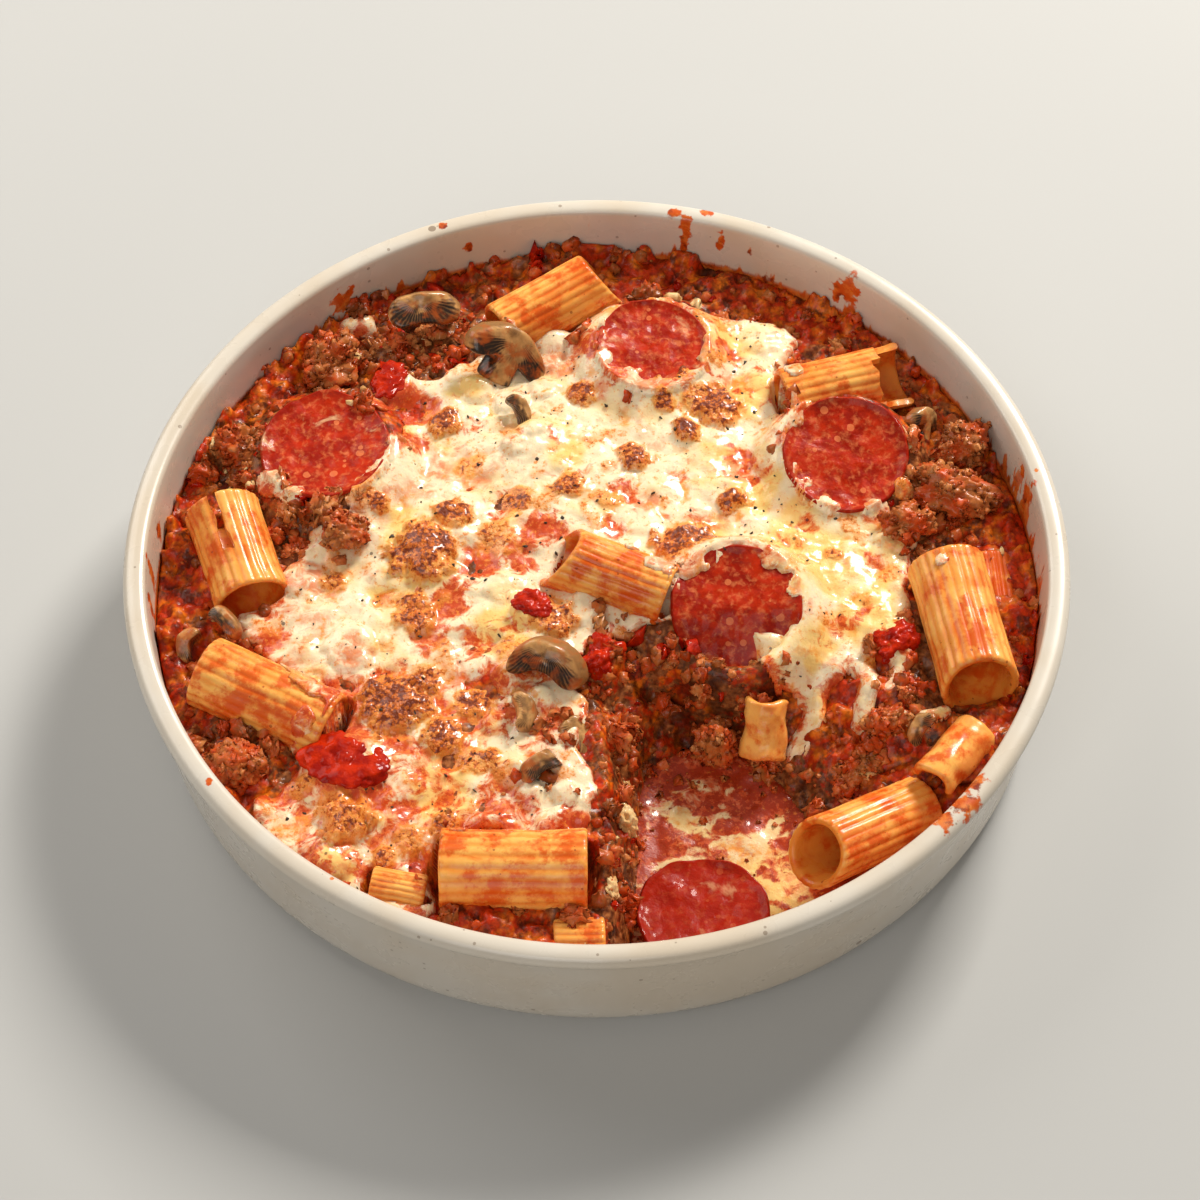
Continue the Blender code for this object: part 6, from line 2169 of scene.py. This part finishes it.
@dataclass(frozen=True)
class SoftLight:
    """A square light that points at the food: its place, size, power and colour."""

    name: str
    place: Point
    size: float
    power: float
    colour: Colour
    aim: Point = (0.0, 0.0, 0.03)

    def build(self) -> None:
        """Make the light."""
        data = bpy.data.lights.new(self.name, "AREA")
        data.size, data.energy, data.color = self.size, self.power, self.colour
        light = bpy.data.objects.new(self.name, data)
        light.location = self.place
        light.rotation_euler = (Vector(self.place) - Vector(self.aim)).to_track_quat("Z", "Y").to_euler()
        bpy.context.scene.collection.objects.link(light)


LIGHTS = (
    SoftLight("key", (0.66, 1.06, 0.99), 0.44, 31.0, (1.0, 0.955, 0.88)),
    SoftLight("back", (-0.5, 0.42, 0.5), 0.5, 2.4, (1.0, 0.96, 0.9)),
    SoftLight("front", (-0.3, -1.1, 1.2), 1.0, 8.6, (1.0, 0.965, 0.91)),
)


@dataclass(frozen=True)
class Studio:
    """A pale floor, soft lights and the camera."""

    target: Point = (0.00076, -0.01536, 0.038)
    elevation: float = 54.547
    distance: float = 0.715
    lens: float = 93.375
    sensor: float = 36.0
    floor_reach: float = 3000.0
    floor_colour: Colour = (0.5, 0.5, 0.49)
    floor_roughness: float = 0.7
    air_colour: Colour = (1.0, 0.95, 0.88)
    air_strength: float = 0.17

    def build(self) -> None:
        """Make the floor, lights and camera."""
        self._floor()
        for light in LIGHTS:
            light.build()
        world = bpy.data.worlds.new("studio")
        world.use_nodes = True
        air = world.node_tree.nodes["Background"].inputs
        air["Color"].default_value = (*self.air_colour, 1.0)
        air["Strength"].default_value = self.air_strength
        bpy.context.scene.world = world
        view = bpy.context.scene.view_settings
        view.view_transform, view.look, view.exposure = "Standard", "None", 0.0
        self._camera()

    def _floor(self) -> None:
        """Make the plain pale floor."""
        material = bpy.data.materials.new("studio_floor")
        material.use_nodes = True
        shader = material.node_tree.nodes["Principled BSDF"].inputs
        shader["Base Color"].default_value = (*self.floor_colour, 1.0)
        shader["Roughness"].default_value = self.floor_roughness
        corners = [(-1, -1, 0), (1, -1, 0), (1, 1, 0), (-1, 1, 0)]
        floor = make_object("studio_floor", self.floor_reach * np.array(corners, float), [(0, 1, 2, 3)], material)

    def _camera(self) -> None:
        """Make the camera at its distance and angle."""
        data = bpy.data.cameras.new("camera")
        data.lens, data.sensor_width = self.lens, self.sensor
        camera = bpy.data.objects.new("camera", data)
        lift = math.radians(self.elevation)
        camera.location = Vector(self.target) + self.distance * Vector((0.0, -math.cos(lift), math.sin(lift)))
        camera.rotation_euler = (math.pi / 2.0 - lift, 0.0, 0.0)
        bpy.context.scene.collection.objects.link(camera)
        bpy.context.scene.camera = camera


# ------------------------------------------------------------- putting it up

STRAY_PLACES = spots(
    (-8, -42, 7.0, 0.9), (-12, -60, 6.0, 0.7), (-20, -36, 4.0, 0.6), (-62, 7, 5.0, 0.7), (47, 47, 4.0, 0.5),
    (57, 5, 2.8, 0.6), (-44, -44, 4.0, 0.4), (-32, -66, 4.0, 0.5), (-24, -60, 3.0, 0.4), (62, -24, 5.0, 0.5),
    (-47, 36, 4.0, 0.6), (-70, -55, 4.0, 0.5), (4, -14, 4.0, 0.7), (44, -28, 5.0, 0.7), (-2, 76, 5.0, 0.6),
    (45, 66, 4.0, 0.6), (-50, 60, 4.0, 0.8), (74, 10, 3.0, 0.5), (-40, -84, 3.0, 0.4), (8, 50, 3.0, 0.2),
)


class BakedPasta:
    """Builds every piece, dresses it and ties it to the frame."""

    def __init__(self) -> None:
        """Measure the frame and make the materials and trees."""
        self.form = Form.from_frame()
        self.palette = Palette()
        self.tubes = TubeTree()
        self.scatter = ScatterTree()

    @staticmethod
    def settle(obj: Object, slot: str, *nodes: str) -> Object:
        """Tie a piece to the body, hide the solids it stands for and log how far it lies from the first of them."""
        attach(obj, ROOT_BODY)
        gap = 0.0
        if nodes:
            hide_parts(*nodes)
            points = mesh_points(obj.data)
            low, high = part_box(nodes[0])
            gap = max(float(np.abs(points.min(axis=0) * MM - np.array(low)).max()),
                      float(np.abs(points.max(axis=0) * MM - np.array(high)).max()))
        LOG.info("%s: %d faces, within %.1f mm of its solid", obj.name, len(obj.data.polygons), gap / MM)
        return obj

    def build(self) -> None:
        """Make all the pieces."""
        form, palette = self.form, self.palette
        self.settle(Dish(form).build(palette), "stoneware_glaze", "dish")
        filling = self.settle(Filling(form).build(palette), "meat_sauce", "filling")
        cheese = self.settle(Cheese(form).build(palette), "baked_cheese", "cheese")
        film = self.settle(HollowFilm(form).build(palette), "baked_cheese")
        for seed, tube in enumerate(RIGATONI, 1):
            self.settle(tube.build(self.tubes, palette, seed), "cooked_pasta", tube.node)
        for seed, slice_ in enumerate(SALAMI, 101):
            self.settle(slice_.build(palette, seed), "cured_slice", slice_.node)
        for seed, piece in enumerate(MUSHROOMS, 201):
            self.settle(piece.build(palette, seed), "mushroom", piece.node)
        for chunk in CHUNKS:
            kind = chunk.node.split("_")[0]
            self.settle(chunk.body(getattr(palette, kind), 0.15), kind, chunk.node)
        for chunk in NUGGETS:
            self.settle(Nugget(chunk).build(self.scatter, palette), "minced_meat", chunk.node)
        self._scatter(filling, cheese, film)

    def _scatter(self, filling: Object, cheese: Object, film: Object) -> None:
        """Make the crumbs, bits and specks, each kind as a piece of its own.

        Args:
            filling, cheese, film: the pieces they lie on.
        """
        palette = self.palette
        for small, source, material, slot, places in (
                (Scattering("loose_crumbs", 200000.0, 0.4, 2.1, 0.8, 0.6, 3), filling, palette.crumbs,
                 "minced_meat", ()),
                (Scattering("mince_clumps", 20500.0, 1.5, 4.3, 0.75, 0.6, 21, fineness=4, grain=0.7), filling,
                 palette.crumbs, "minced_meat", ()),
                (Scattering("hollow_crumbs", 120000.0, 0.3, 1.3, 0.8, 0.85, 9), film, palette.crumbs,
                 "minced_meat", ()),
                (Scattering("tomato_bits", 16000.0, 0.7, 2.6, 0.6, 0.8, 11), filling, palette.tomato, "tomato", ()),
                (Scattering("onion_bits", 7000.0, 0.7, 2.6, 0.5, 0.7, 13), filling, palette.onion, "onion", ()),
                (Scattering("stray_mince", 150000.0, 0.5, 2.1, 0.75, 0.85, 17), cheese, palette.crumbs,
                 "minced_meat", STRAY_PLACES),
                (Scattering("pepper_specks", 16000.0, 0.22, 0.6, 0.4, 0.6, 5), cheese, palette.pepper,
                 "minced_meat", ())):
            self.settle(small.build(source, self.scatter, material, places), slot)


def main() -> None:
    """Build the looks around the frame."""
    logging.basicConfig(level=logging.INFO, format="%(name)s: %(message)s")
    for obj in list(bpy.data.objects):
        bpy.data.objects.remove(obj, do_unlink=True)
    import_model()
    BakedPasta().build()
    Studio().build()


if __name__ == "__main__":
    main()
